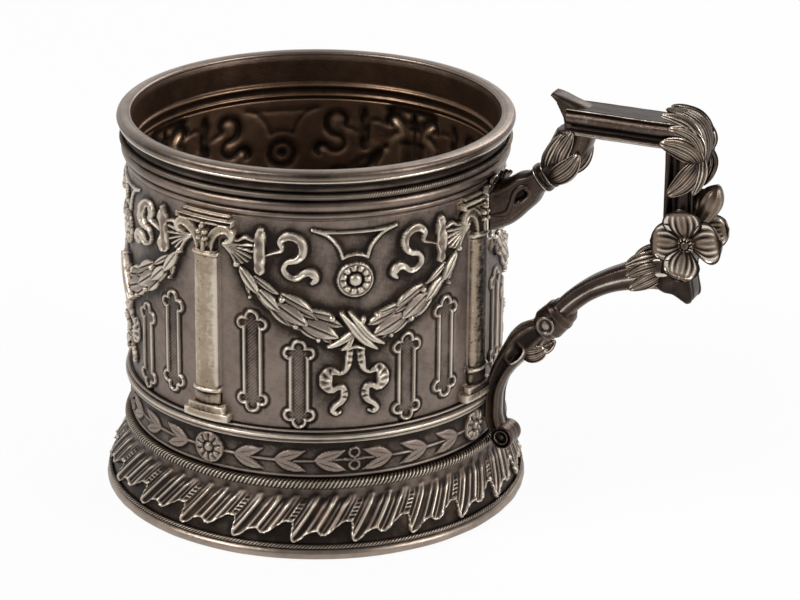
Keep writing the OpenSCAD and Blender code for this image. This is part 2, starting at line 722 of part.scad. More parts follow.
module knot_collar() {
    p = knot_run[1];
    color(bright_silver) {
        swept(swollen(knot_run, 0.35));
        translate([p[0], 0, p[1]]) rotate([90, 0, 0])
            cylinder(r = bar_depth * 0.33, h = bar_w * 1.08, center = true);
    }
}

module lower_leg() {
    color(silver) difference() {
        swept(leg_run);
        ledge_moulding();
        column(1);
        scroll_body();
    }
}

scroll_x = wall_r + rope_seat + lower_rope_r + scroll_r * 1.12;
scroll_z = foot_h + scroll_r;

module scroll_body() {
    translate([scroll_x, scroll_w / 2, scroll_z]) rotate([90, 0, 0]) cylinder(r = scroll_r, h = scroll_w);
}

module foot_scroll() {
    eye = scroll_r * 0.4;
    dip = scroll_w * 0.1;
    color(bright_silver) difference() {
        scroll_body();
        lower_rope_wire();
        for (side = [-1, 1])
            translate([scroll_x, side * (scroll_w / 2 + eps) + (side > 0 ? 0 : dip), scroll_z])
            rotate([90, 0, 0]) difference() {
                cylinder(r = scroll_r * 0.78, h = dip);
                cylinder(r = eye, h = dip);
            }
    }
}

// Leaves on the riser, the corner, the arm and the leg
module both_sides() {
    children();
    mirror([0, 1, 0]) children();
}

module riser_leaves() {
    a = riser_run[0];
    b = riser_run[2];
    c = riser_run[4];
    d = bar_depth;
    color(bright_silver) difference() {
        both_sides() {
            leaf([a[0] - d * 0.3, a[1] + d * 0.1], [c[0] - d * 0.45, c[1] - d * 0.05],
                 d * 0.34, d * 0.3, y = -b[4]);
            leaf([a[0] + d * 0.35, a[1] - d * 0.15], [c[0] + d * 0.25, c[1] - d * 0.3],
                 d * 0.42, d * 0.34, y = -b[4] * 0.9, bow = -d * 0.25);
        }
        riser();
        neck_collar();
        top_bar();
    }
}

module corner_leaves() {
    d = bar_depth;
    x = upright_out;
    z = bar_top;
    color(bright_silver) difference() {
        union() {
            leaf([x - d * 1.6, z], [x - d * 0.1, z - d * 1.1], d * 0.3, d * 0.52, bow = d * 0.5);
            leaf([x - d * 0.5, z], [x, z - d * 2.1], d * 0.3, d * 0.45, bow = d * 0.35);
            both_sides() {
                leaf([x - d * 1.35, z - d * 0.75], [x + d * 0.05, z - d * 1.3],
                     d * 0.36, d * 0.26, y = -bar_w * 0.5);
                leaf([x - d * 1.1, z - d * 1.25], [x - d * 0.05, z - d * 2],
                     d * 0.3, d * 0.26, y = -bar_w * 0.46);
                leaf([x - d * 0.2, z - d * 1.7], [x - d * 0.85, z - d * 2.75],
                     d * 0.34, d * 0.24, y = -bar_w * 0.45);
            }
        }
        top_bar();
        upright();
    }
}

flower_x = upright_out - upright_depth * 0.15;
flower_z = corner_z + flower_r * 0.45;

module bud() {
    d = bar_depth;
    z = flower_z + flower_r * 0.72;
    color(silver) difference() {
        union() {
            leaf([upright_out - d * 0.25, z - d * 0.45], [upright_out + d * 0.85, z + d * 1.05],
                 d * 0.5, d * 0.5);
            leaf([upright_out - d * 0.2, z - d * 0.2], [upright_out + d * 0.3, z + d * 0.95],
                 d * 0.3, d * 0.4, bow = d * 0.2);
        }
        upright();
    }
}

// Flower: four petals on each side of the upright, round a boss of stamens
petal_t = flower_r * 0.11;
flower_turn = 12;

module flower_petals() {
    r = flower_r;
    color(bright_silver) both_sides() difference() {
        for (k = [0:3]) translate([flower_x, 0, flower_z]) rotate([0, flower_turn + 90 * k, 0])
            leaf([r * 0.05, 0], [r, 0], r * 0.46, petal_t * 1.6, y = -upright_w / 2 - petal_t);
        upright();
        lower_corner();
        translate([flower_x, 0, flower_z]) rotate([90, 0, 0]) cylinder(r = r * 0.2, h = upright_w + r);
    }
}

module flower_bosses() {
    r = flower_r * 0.2;
    seat = upright_w / 2;
    color(bright_silver) for (side = [-1, 1])
        translate([flower_x, side * seat, flower_z]) rotate([side * -90, 0, 0]) {
            cylinder(r = r, h = petal_t * 2);
            translate([0, 0, petal_t * 2]) intersection() {
                sphere(r = r);
                cylinder(r = r, h = r);
            }
        }
}

module arm_leaves() {
    a = arm_run[0];
    d = bar_depth;
    color(bright_silver) difference() {
        both_sides() {
            leaf([a[0], a[1] + d * 0.1], [a[0] - d * 1.5, a[1] - d * 0.05],
                 d * 0.3, d * 0.24, y = -a[4] * 0.9);
            leaf([a[0], a[1] - d * 0.3], [a[0] - d * 1.3, a[1] - d * 0.85],
                 d * 0.26, d * 0.24, y = -a[4] * 0.85);
        }
        lower_arm();
        lower_corner();
    }
}

module leg_leaves() {
    a = leg_run[0];
    b = leg_run[4];
    d = bar_depth;
    color(bright_silver) difference() {
        both_sides() leaf([a[0] + d * 0.1, a[1] - d * 0.15], [b[0] + d * 0.35, b[1] - d * 0.1],
                          d * 0.36, d * 0.24, y = -a[4] * 0.85);
        lower_leg();
        knot_collar();
    }
}

wall_shell();
mouth_rim();
neck_moulding();
upper_rope_wire();
ledge_moulding();
lower_rope_wire();
foot_flare();
foot_ruffle();
foot_bead_wire();
foot_ring();
floor_plate();
handle_socket();
socket_drop();
handle_neck();
neck_collar();
riser();
riser_leaves();
thumb_spur();
top_bar();
corner_leaves();
upright();
bud();
flower_petals();
flower_bosses();
lower_corner();
lower_arm();
arm_leaves();
knot_collar();
lower_leg();
leg_leaves();
foot_scroll();
for (i = [1:4]) {
    column(i);
    capital(i);
    garland(i);
    ribbons(i);
    crest(i);
    lancets(i);
    laurel(i);
}
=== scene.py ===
"""Silver tea glass holder: a relief worked body on a ruffled foot, with an ornate cast handle."""
import math

import bpy
import numpy as np
from bpy.props import FloatProperty, FloatVectorProperty, PointerProperty
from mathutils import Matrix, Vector


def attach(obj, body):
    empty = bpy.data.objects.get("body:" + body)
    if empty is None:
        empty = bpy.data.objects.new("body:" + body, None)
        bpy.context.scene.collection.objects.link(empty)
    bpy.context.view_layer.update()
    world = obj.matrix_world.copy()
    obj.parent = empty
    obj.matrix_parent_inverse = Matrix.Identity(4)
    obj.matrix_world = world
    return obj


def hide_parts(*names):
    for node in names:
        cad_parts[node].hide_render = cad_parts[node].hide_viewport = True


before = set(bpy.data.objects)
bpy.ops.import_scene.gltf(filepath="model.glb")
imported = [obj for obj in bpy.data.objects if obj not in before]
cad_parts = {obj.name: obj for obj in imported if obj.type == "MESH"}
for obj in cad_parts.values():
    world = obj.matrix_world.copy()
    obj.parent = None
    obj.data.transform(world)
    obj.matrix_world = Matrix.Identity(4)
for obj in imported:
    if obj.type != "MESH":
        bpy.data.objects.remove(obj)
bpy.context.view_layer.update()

bl_info = {
    "name": "Tea Glass Holder",
    "version": (1, 0, 0),
    "blender": (4, 5, 0),
    "location": "View3D > Sidebar > Holder",
    "description": "Builds a silver tea glass holder with relief panels, rope wires and a cast handle",
    "category": "Add Mesh",
}

# All lengths are in millimetres until a mesh is written.
MM = 0.001
TURN = 2 * math.pi
WALL_R, BORE_R = 36.9, 36.0
# Where the four columns stand, in degrees, and the wall's length between two of them
QUARTERS = (-8.0, 82.0, 172.0, 262.0)
QUARTER_W = WALL_R * math.pi / 2
PANEL_LOW, PANEL_TOP = 25.4, 67.6
COLUMN_HALF = 6.6
FRIEZE_LOW = 13.1
# The height of a stamp where it has no metal: lower than anything, so it leaves such a place alone
BARE = -9
# Wear runs from 0 in a hollow to 1 on a worn top: what metal has that is neither, what faces inwards has, and the
# least and the most of a leaf
PLAIN_WEAR, BACK_WEAR = 0.5, 0.4
LEAST_WEAR, MOST_WEAR = 0.02, 0.95
# Keeps a division away from zero
TINY = 1e-9


# ---------------------------------------------------------------- numbers

def ease(x):
    """Smooth climb from 0 to 1 while x goes from 0 to 1."""
    x = np.clip(x, 0, 1)
    return x * x * (3 - 2 * x)


def band(x, low, high, soft):
    """1 between low and high, falling to 0 over the soft width on each side."""
    return ease((x - low) / soft + 0.5) * ease((high - x) / soft + 0.5)


def hump(x, r):
    """Round top: the square root of 1 - (x / r) squared, 0 outside the radius."""
    return np.sqrt(np.clip(1 - (x / r) ** 2, 0, 1))


def line(x, w):
    """Narrow round ridge: e to the minus (x / w) squared."""
    return np.exp(-((x / w) ** 2))


def grain(*axes, seed, waves):
    """Soft unevenness: a sum of sine waves in seeded directions, between about -1 and 1."""
    rng = np.random.default_rng(seed)
    total = 0
    for _ in range(waves):
        k = rng.normal(size=len(axes))
        total = total + np.sin(sum(a * b for a, b in zip(axes, k)) + rng.uniform(0, TURN))
    return total / math.sqrt(waves)


def unit(v):
    """Each row's vector over its own length."""
    return v / np.maximum(np.linalg.norm(v, axis=-1, keepdims=True), TINY)


def angles(n):
    """n equal angles round a circle."""
    return np.arange(n) * TURN / n


def evenly(rows, count, places):
    """Even steps along a broken line, measured over its first columns, which are places; the others go along with
    them. Returns the rows and their distances from the start."""
    run = np.concatenate([[0], np.cumsum(np.linalg.norm(np.diff(rows[:, :places], axis=0), axis=1))])
    at = np.linspace(0, run[-1], count)
    return np.stack([np.interp(at, run, column) for column in rows.T], -1), at


def smooth_run(rows, steps=8):
    """Curve through the rows: each stretch is the cubic whose end slopes are half the step between the neighbours."""
    p = np.asarray(rows, float)
    q = np.vstack([p[:1], p, p[-1:]])
    t = np.arange(steps) / steps
    a, b, c, d = (q[k:len(q) - 3 + k, None, :] for k in range(4))
    t = t[None, :, None]
    r = (b + (c - a) * t / 2 + (a - 2.5 * b + 2 * c - d / 2) * t ** 2
         + (d - a + 3 * (b - c)) * t ** 3 / 2)
    return np.vstack([r.reshape(-1, p.shape[1]), p[-1:]])


def spread(z, size, axis, wrap, bent):
    """Gaussian mean along one axis. Past a free end the last value repeats, or the slope goes on where bent is set."""
    reach = max(1, int(3 * size))
    n = z.shape[axis]
    i = np.arange(-reach, n + reach)
    if wrap:
        pad = np.take(z, i % n, axis=axis)
    elif bent:
        mirrored = np.where(i > n - 1, 2 * (n - 1) - i, np.abs(i))
        far = np.take(z, np.clip(mirrored, 0, n - 1), axis=axis)
        ends = np.take(z, np.where(i < 0, 0, n - 1), axis=axis)
        shape = [1] * z.ndim
        shape[axis] = -1
        outside = ((i < 0) | (i > n - 1)).reshape(shape)
        pad = np.where(outside, 2 * ends - far, far)
    else:
        pad = np.take(z, np.clip(i, 0, n - 1), axis=axis)
    w = np.exp(-0.5 * (np.arange(-reach, reach + 1) / size) ** 2)
    w /= w.sum()
    return sum(wk * np.take(pad, np.arange(k, k + n), axis=axis) for k, wk in enumerate(w))


def blurred(z, size_a, size_b, wrap=(False, False), bent=False):
    """Gaussian mean over both axes of a grid; the sizes are in cells."""
    for axis, size in ((0, size_a), (1, size_b)):
        if size > 0.3:
            z = spread(z, size, axis, wrap[axis], bent)
    return z


def height_wear(h, cell, fine=0.35, broad=1.5):
    """Worn tops and filled hollows: how far a height stands over its own mean nearby, at a fine and a broad size.
    The cell is the sheet's step each way."""
    near, far = (h - blurred(h, size / cell[0], size / cell[1]) for size in (fine, broad))
    return PLAIN_WEAR + 2.6 * near + 0.8 * far


def grid_normals(p, wrap):
    """Cross product of the two steps at each grid point."""
    def step(axis):
        if wrap[axis]:
            return np.roll(p, -1, axis) - np.roll(p, 1, axis)
        return np.gradient(p, axis=axis)
    return unit(np.cross(step(0), step(1)))


def point_wear(p, wrap, fine=0.3, broad=1.3, gain=(2.2, 0.4)):
    """The same for points in space: how far each stands out, along its normal, from the mean of its neighbours."""
    cell = [max(float(np.median(np.linalg.norm(np.diff(p, axis=k), axis=2))), 1e-3) for k in (0, 1)]
    n = grid_normals(p, wrap)
    out = np.full(p.shape[:2], PLAIN_WEAR)
    for size, g in zip((fine, broad), gain):
        sizes = (min(size / cell[k], p.shape[k] / 7) for k in (0, 1))
        mean = blurred(p, *sizes, wrap, bent=True)
        rise = ((p - mean) * n).sum(axis=2)
        out += g * (rise - np.median(rise))
    return out


# ---------------------------------------------------------------- meshes

class Skin:
    """Grids of points joined into closed shells and written as one mesh, with the wear at each point."""

    def __init__(self):
        self.points, self.wear, self.bore, self.faces = [], [], [], []
        self.count = self.begun = 0

    def add(self, p, wear, bore=0.0):
        """Puts a grid of points in and returns their numbers. The bore value is 1 on what faces the glass."""
        p = np.asarray(p, float)
        wear = np.broadcast_to(wear, p.shape[:2])
        number = np.arange(self.count, self.count + wear.size).reshape(wear.shape)
        self.points.append(p.reshape(-1, 3))
        self.wear.append(wear.reshape(-1))
        self.bore.append(np.broadcast_to(bore, wear.shape).reshape(-1))
        self.count += wear.size
        return number

    def quads(self, n, wrap=(False, False)):
        """Faces between neighbouring rows and columns of the point numbers."""
        if wrap[0]:
            n = np.vstack([n, n[:1]])
        if wrap[1]:
            n = np.hstack([n, n[:, :1]])
        self.faces.append(np.stack([n[:-1, :-1], n[1:, :-1], n[1:, 1:], n[:-1, 1:]], -1).reshape(-1, 4))

    def join(self, fine, coarse, wrap=False):
        """Faces between two edges: each step of the coarse one spans a whole number of steps of the fine one."""
        if wrap:
            fine, coarse = np.append(fine, fine[0]), np.append(coarse, coarse[0])
        k = (len(fine) - 1) // (len(coarse) - 1)
        near = np.stack([fine[j:len(fine) - k + j:k] for j in range(k + 1)], -1)
        self.faces.append(np.hstack([near[:, ::-1], coarse[:-1, None], coarse[1:, None]]))

    def cap(self, edge, wear):
        """Closes a ring of points to their middle."""
        where = np.concatenate(self.points)[edge].mean(axis=0)
        mid = self.add(where[None, None], np.array([[wear]]))[0, 0]
        self.faces.append(np.stack([edge, np.roll(edge, -1), np.full(len(edge), mid)], -1))

    def shell_done(self):
        """Turns the faces of the shell just made outwards: the sum of their signed volumes is made positive."""
        p = np.concatenate(self.points)
        total = 0.0
        for f in self.faces[self.begun:]:
            for k in range(1, f.shape[1] - 1):
                total += np.einsum("ij,ij->i", p[f[:, 0]], np.cross(p[f[:, k]], p[f[:, k + 1]])).sum()
        if total < 0:
            self.faces[self.begun:] = [f[:, ::-1] for f in self.faces[self.begun:]]
        self.begun = len(self.faces)

    def tube(self, p, wear=None, broad=1.3, gain=(2.2, 0.4)):
        """Closed tube from rings of points: rows along it, columns round it, both ends closed to a point."""
        if wear is None:
            wear = point_wear(p, (False, True), broad=broad, gain=gain)
        n = self.add(p, wear)
        self.quads(n, (False, True))
        self.cap(n[0], float(wear[0].mean()))
        self.cap(n[-1][::-1], float(wear[-1].mean()))
        self.shell_done()

    def hoop(self, p, wear=None, broad=1.3, gain=(2.2, 0.4), bore=0.0):
        """Closed ring: the grid wraps both ways."""
        if wear is None:
            wear = point_wear(p, (True, True), broad=broad, gain=gain)
        self.quads(self.add(p, wear, bore), (True, True))
        self.shell_done()

    def plate(self, front, back, wear, back_wear, wrap=False, bore=1.0):
        """Closed plate: a fine front, a coarser back, and their edges joined. With wrap it is a whole ring."""
        a, b = self.add(front, wear), self.add(back, back_wear, bore)
        self.quads(a, (wrap, False))
        self.quads(b[:, ::-1], (wrap, False))
        self.join(a[:, 0], b[:, 0], wrap)
        self.join(a[::-1, -1], b[::-1, -1], wrap)
        if not wrap:
            self.join(a[0, ::-1], b[0, ::-1])
            self.join(a[-1, :], b[-1, :])
        self.shell_done()

    def sheet(self, front, back, wear):
        """Closed thin leaf: two grids of the same size that share their edges' places."""
        wear = np.clip(wear, LEAST_WEAR, MOST_WEAR)
        self.plate(front, back, wear, wear, bore=0.0)

    def write(self, name, material, slot, *nodes):
        """Writes the mesh, with the wear and the bore as values of its points, and hands the piece to the frame."""
        p = np.concatenate(self.points) * MM
        sizes = np.concatenate([np.full(len(f), f.shape[1], np.int32) for f in self.faces])
        corners = np.concatenate([f.reshape(-1) for f in self.faces]).astype(np.int32)
        mesh = bpy.data.meshes.new(name)
        mesh.vertices.add(len(p))
        mesh.vertices.foreach_set("co", p.astype(np.float32).reshape(-1))
        mesh.loops.add(len(corners))
        mesh.loops.foreach_set("vertex_index", corners)
        mesh.polygons.add(len(sizes))
        starts = np.concatenate([[0], np.cumsum(sizes)[:-1]]).astype(np.int32)
        mesh.polygons.foreach_set("loop_start", starts)
        mesh.polygons.foreach_set("use_smooth", np.ones(len(sizes), bool))
        mesh.update(calc_edges=True)
        for key, values in (("wear", self.wear), ("bore", self.bore)):
            values = np.clip(np.concatenate(values), 0, 1).astype(np.float32)
            mesh.attributes.new(key, "FLOAT", "POINT").data.foreach_set("value", values)
        mesh.validate(clean_customdata=False)
        mesh.materials.append(material)
        piece = bpy.data.objects.new(name, mesh)
        bpy.context.scene.collection.objects.link(piece)
        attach(piece, "root")
        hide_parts(*nodes)


def round_wall(s, z, rise, turn, base=WALL_R):
    """Wraps flat places, s along the wall and z up, round the body: the angle is s over the wall's radius, and the
    radius is the base and the rise."""
    a = s / WALL_R + math.radians(turn)
    return around_axis(a, base + rise, z)


def around_axis(a, r, z):
    """Points at an angle, a radius and a height, which may be numbers, rows or columns."""
    return np.stack(np.broadcast_arrays(r * np.cos(a), r * np.sin(a), z), -1)


def around_place(b, x, z, r, y):
    """The same round a line through (x, z) that runs across the handle."""
    return np.stack(np.broadcast_arrays(x + r * np.cos(b), y, z + r * np.sin(b)), -1)


class Relief:
    """Heights over a flat sheet of places (s, z)."""

    def __init__(self, s, z):
        self.s, self.z = s, z
        self.S, self.Z = np.meshgrid(s, z, indexing="ij")
        self.H = np.zeros_like(self.S)

    def part(self, s0, s1, z0, z1):
        """The slice of the sheet inside a box."""
        i, j = np.searchsorted(self.s, (s0, s1)), np.searchsorted(self.z, (z0, z1))
        return np.s_[i[0]:i[1], j[0]:j[1]]

    def raise_to(self, box, shape):
        """A stamp inside a box: the higher of the old height and the stamp's."""
        w = self.part(*box)
        self.H[w] = np.maximum(self.H[w], shape(self.S[w], self.Z[w]))

    def add(self, box, shape):
        """Adds a shape to the heights inside a box."""
        w = self.part(*box)
        self.H[w] += shape(self.S[w], self.Z[w])

    def lay(self, places, shape, both=True):
        """A stamp along a smooth path of rows (s, z, half width). The shape gets the distance across over the half
        width, the length along, the whole length and the half width. With both it is repeated on the other side."""
        p = smooth_run(places, 6)
        wide = p[:, 2].max() + 0.6
        for side in ((1, -1) if both else (1,)):
            q = p * [side, 1, 1]
            (s0, z0, _), (s1, z1, _) = q.min(axis=0), q.max(axis=0)
            w = self.part(s0 - wide, s1 + wide, z0 - wide, z1 + wide)
            S, Z = self.S[w], self.Z[w]
            near = np.full(S.shape, 1e9)
            across, along, half = np.zeros(S.shape), np.zeros(S.shape), np.ones(S.shape)
            run = 0.0
            for a, b in zip(q[:-1], q[1:]):
                d = b[:2] - a[:2]
                n = max(math.hypot(*d), 1e-6)
                t = np.clip(((S - a[0]) * d[0] + (Z - a[1]) * d[1]) / n ** 2, 0, 1)
                gap = np.hypot(S - a[0] - t * d[0], Z - a[1] - t * d[1])
                hit = gap < near
                near = np.where(hit, gap, near)
                left = np.sign((S - a[0]) * d[1] - (Z - a[1]) * d[0]) * side
                across = np.where(hit, gap * np.where(left == 0, 1, left), across)
                along = np.where(hit, run + t * n, along)
                half = np.where(hit, a[2] + t * (b[2] - a[2]), half)
                run += n
            self.H[w] = np.maximum(self.H[w], shape(across / half, along, run, half))


# ---------------------------------------------------------------- materials

class Wire:
    """One number in a material. A sum on it adds a Math node."""

    def __init__(self, net, socket):
        self.net, self.socket = net, socket

    def sum(self, kind, *rest):
        return self.net.node("ShaderNodeMath", {"operation": kind}, *rest)

    def __add__(self, o): return self.sum("ADD", self, o)
    def __radd__(self, o): return self.sum("ADD", o, self)
    def __sub__(self, o): return self.sum("SUBTRACT", self, o)
    def __rsub__(self, o): return self.sum("SUBTRACT", o, self)
    def __mul__(self, o): return self.sum("MULTIPLY", self, o)
    def __rmul__(self, o): return self.sum("MULTIPLY", o, self)

    def clip(self):
        """Held between 0 and 1."""
        return self.net.node("ShaderNodeClamp", {}, self)

    def climb(self, low, high):
        """0 below low, 1 above high, smooth between."""
        return self.net.node("ShaderNodeMapRange", {"interpolation_type": "SMOOTHSTEP"}, self, low, high, 0.0, 1.0)


class Net:
    """The nodes of a material or of the world, which start empty."""

    def __init__(self, owner):
        owner.use_nodes = True
        self.tree = owner.node_tree
        self.tree.nodes.clear()

    def node(self, kind, settings, *values, out=None, **named):
        """A node of any kind: its settings first, then the values or links of its sockets by order or by name."""
        n = self.tree.nodes.new(kind)
        for key, value in settings.items():
            setattr(n, key, value)
        pairs = list(zip([s for s in n.inputs if s.enabled], values))
        pairs += [(n.inputs[k.replace("_", " ")], v) for k, v in named.items()]
        for socket, value in pairs:
            if isinstance(value, Wire):
                self.tree.links.new(value.socket, socket)
            else:
                socket.default_value = value
        outs = [s for s in n.outputs if s.enabled]
        return Wire(self, n.outputs[out] if out else outs[0]) if outs else None

    def mix(self, share, a, b):
        """Colour between a and b."""
        return self.node("ShaderNodeMix", {"data_type": "RGBA"}, share, a, b)

    def noise(self, where, scale, detail, rough=0.55):
        """Cloudy noise between 0 and 1."""
        return self.node("ShaderNodeTexNoise", {}, where, Scale=scale, Detail=detail, Roughness=rough)

    def place(self):
        """Object coordinates in millimetres."""
        where = self.node("ShaderNodeTexCoord", {}, out="Object")
        return self.node("ShaderNodeVectorMath", {"operation": "SCALE"}, where, Scale=1 / MM)


# ---------------------------------------------------------------- relief

def within(e, height):
    """The height where e is between -1 and 1, and no metal elsewhere."""
    return np.where(np.abs(e) < 1, height, BARE)


def leaf_stamp(f, s, z, angle, length, width, low, tilt, thick, groove, full):
    """Pointed leaf from its base at (s, z). Its half width is a skewed sine of the way along. Its top climbs from low
    by tilt to the tip and is rounded across by the thickness, with a sunk midrib and a raised rim."""
    c, d = math.cos(angle), math.sin(angle)
    mid_s, mid_z, reach = s + c * length / 2, z + d * length / 2, length / 2 + width + 0.3

    def shape(S, Z):
        x = (S - s) * c + (Z - z) * d
        y = -(S - s) * d + (Z - z) * c
        t = np.clip(x / length, 0, 1)
        half = np.maximum(width / 2 * np.sin(math.pi * t ** 0.9) ** full, 1e-3)
        e = np.abs(y) / half
        top = low + tilt * t + thick * (1 - e ** 2.4)
        top = top - groove * line(y, 0.14) * (t < 0.92) + 0.12 * line(e - 0.82, 0.1)
        inside = (x > 0) & (x < length) & (e < 1)
        edge = ease((1 - e) * half / 0.24)
        return np.where(inside, low * 0.25 + (top - low * 0.25) * edge, BARE)

    f.raise_to((mid_s - reach, mid_s + reach, mid_z - reach, mid_z + reach), shape)


def dome_stamp(f, s, z, r, low, high):
    """Round bead: low at its edge and high in the middle."""
    def shape(S, Z):
        gap = np.hypot(S - s, Z - z)
        return within(gap / r, low + (high - low) * hump(gap, r))
    f.raise_to((s - r, s + r, z - r, z + r), shape)


def wire_shape(high):
    """Round wire across a path."""
    return lambda e, along, whole, half: within(e, high * hump(e, 1.0) ** 0.8)


def ribbon_shape(high, edge, folds, pitch, rise):
    """Flat ribbon with cross folds: it twists along its way, so one edge stands up and then the other, and it climbs
    by the rise."""
    def shape(e, along, whole, half):
        turns = TURN * along / whole
        top = high + rise * np.sin(turns * 2.5) - 0.85 * edge * (1 - e ** 2) + 0.45 * e * np.sin(turns * 1.5 + 0.7)
        top = top - folds * (0.5 + 0.5 * np.cos(TURN * along / pitch + 1.2 * e)) * (half > 0.75)
        return within(e, top * (0.2 + 0.8 * ease((1 - np.abs(e)) * half / 0.24)))
    return shape


def cord_shape(high):
    """Thick cord across a path, with a fine groove along its middle."""
    return lambda e, along, whole, half: within(
        e, high * (0.35 + 0.65 * hump(e, 1.0) ** 0.7) - 0.3 * line(e * half, 0.12))


def lancet_gap(S, Z, at, low, top):
    """Signed distance to a slender panel with a three lobed end above and below: the least of a bar's and its
    lobes'."""
    x = np.abs(S - at)
    mid, half = (low + top) / 2, (top - low) / 2
    y = np.abs(Z - mid)
    bar = np.maximum(x - 1.62, y - (half - 1.5))
    side_lobe = np.hypot(x - 1.78, y - (half - 2.5)) - 1.02
    end_lobe = np.hypot(x, (y - (half - 1.3)) * 0.92) - 1.2
    return np.minimum(bar, np.minimum(side_lobe, end_lobe))


def lancet_stamp(f, at, low, top):
    """Raised wire on the lancet's outline and a sunk ground inside it, cut with fine crossed lines."""
    def shape(S, Z):
        gap = lancet_gap(S, Z, at, low, top)
        deep = ease((-gap - 0.1) / 0.3)
        hatching = np.sin(TURN * (S + Z) / 0.72) + np.sin(TURN * (S - Z) / 0.72)
        return deep * (-0.04 + 0.022 * hatching) + (0.5 * line(gap, 0.27) - 0.1 * line(gap - 0.7, 0.3))

    f.add((at - 4, at + 4, low - 0.6, top + 0.6), shape)


# Garland leaves on one side, from their base to their tip, as (s, z, s, z, width, low, tilt)
SWAG_LEAVES = [
    (-19.8, 56.4, -14.3, 52.7, 1.3, 0.2, 0.25), (-14.2, 53.0, -8.0, 49.7, 2.1, 0.2, 0.4),
    (-12.6, 50.9, -7.2, 48.3, 1.7, 0.3, 0.3), (-9.6, 49.9, -4.0, 48.6, 1.5, 0.2, 0.3),
    (-7.8, 48.6, -2.4, 46.7, 2.1, 0.35, 0.3), (-18.9, 53.2, -15.4, 49.3, 1.2, 0.15, 0.3),
    (-16.2, 50.3, -12.2, 46.7, 1.7, 0.2, 0.35), (-12.8, 48.4, -10.4, 45.6, 1.2, 0.15, 0.3),
    (-10.9, 46.8, -6.8, 44.0, 1.5, 0.2, 0.3), (-7.4, 45.4, -4.2, 43.2, 1.3, 0.2, 0.2),
    (-20.8, 55.4, -19.9, 52.1, 0.9, 0.2, 0.3), (-22.0, 57.8, -18.0, 52.6, 2.0, 0.5, 0.35),
    (-18.3, 53.6, -14.0, 49.6, 2.1, 0.5, 0.4), (-15.0, 51.2, -9.0, 47.1, 2.8, 0.5, 0.45),
    (-10.5, 47.8, -3.3, 44.5, 2.9, 0.5, 0.45)]
# Its berries, as (s, z, radius)
SWAG_BERRIES = [(-22.5, 58.1, 0.62), (-13.7, 51.9, 0.66), (-11.1, 46.6, 0.62), (-4.3, 48.2, 0.7), (-19.8, 51.9, 0.38),
                (-6.9, 43.9, 0.5)]
# Its roll, from a column to the middle, and all the paths below, as (s, z, half width)
SWAG_ROLL = [(-22.2, 58.0, 0.5), (-18.4, 53.6, 1.0), (-14.4, 50.6, 1.5), (-9.2, 47.8, 2.1), (-4.4, 46.2, 2.3),
             (0, 45.7, 2.1)]


def swag(f):
    """Garland hung between two columns: a low swelling roll, big lapped leaves along it, smaller ones beside them and
    berries."""
    f.lay(SWAG_ROLL, lambda e, along, whole, half: within(e, 0.05 + 0.35 * hump(e, 1.0)))
    for s0, z0, s1, z1, wide, low, tilt in SWAG_LEAVES:
        angle, long = math.atan2(z1 - z0, s1 - s0), math.hypot(s1 - s0, z1 - z0)
        for side, way in ((1, angle), (-1, math.pi - angle)):
            leaf_stamp(f, side * s0, z0, way, 1.04 * long, 1.2 * wide, low, tilt, 0.5, 0.42, 0.75)
    for s, z, r in SWAG_BERRIES:
        for side in (1, -1):
            dome_stamp(f, side * s, z, r, 0.45, 1.3)


# Where the ribbon's strands end, as (s, z); they start together at a capital
STRAND_ENDS = [(-22.5, 58.2), (-21.4, 58.5), (-20.4, 58.9), (-19.6, 59.7), (-19.2, 60.9), (-19.0, 62.2)]
RIBBON_TAB = [(-17.95, 57.6, 1.2), (-17.95, 60.5, 1.15), (-17.8, 64.0, 1.15), (-17.7, 65.3, 0.75)]
RIBBON_TIE = [(-24.0, 63.3, 0.22), (-22.4, 62.8, 0.34), (-20.8, 63.6, 0.4), (-19.2, 63.2, 0.34)]
RIBBON_SCROLL = [(-16.8, 60.4, 0.22), (-15.1, 61.2, 0.3), (-13.7, 61.9, 0.5), (-14.0, 63.4, 0.68),
                 (-12.8, 64.5, 0.85), (-11.0, 64.2, 0.9), (-9.9, 62.9, 0.95), (-9.9, 61.1, 0.85), (-11.0, 59.9, 0.65),
                 (-12.6, 59.4, 0.55), (-13.4, 58.0, 0.55), (-12.6, 56.7, 0.55), (-11.0, 56.3, 0.6),
                 (-9.5, 57.4, 0.72), (-8.2, 57.5, 0.85), (-7.4, 56.3, 0.75), (-8.1, 55.4, 0.45)]
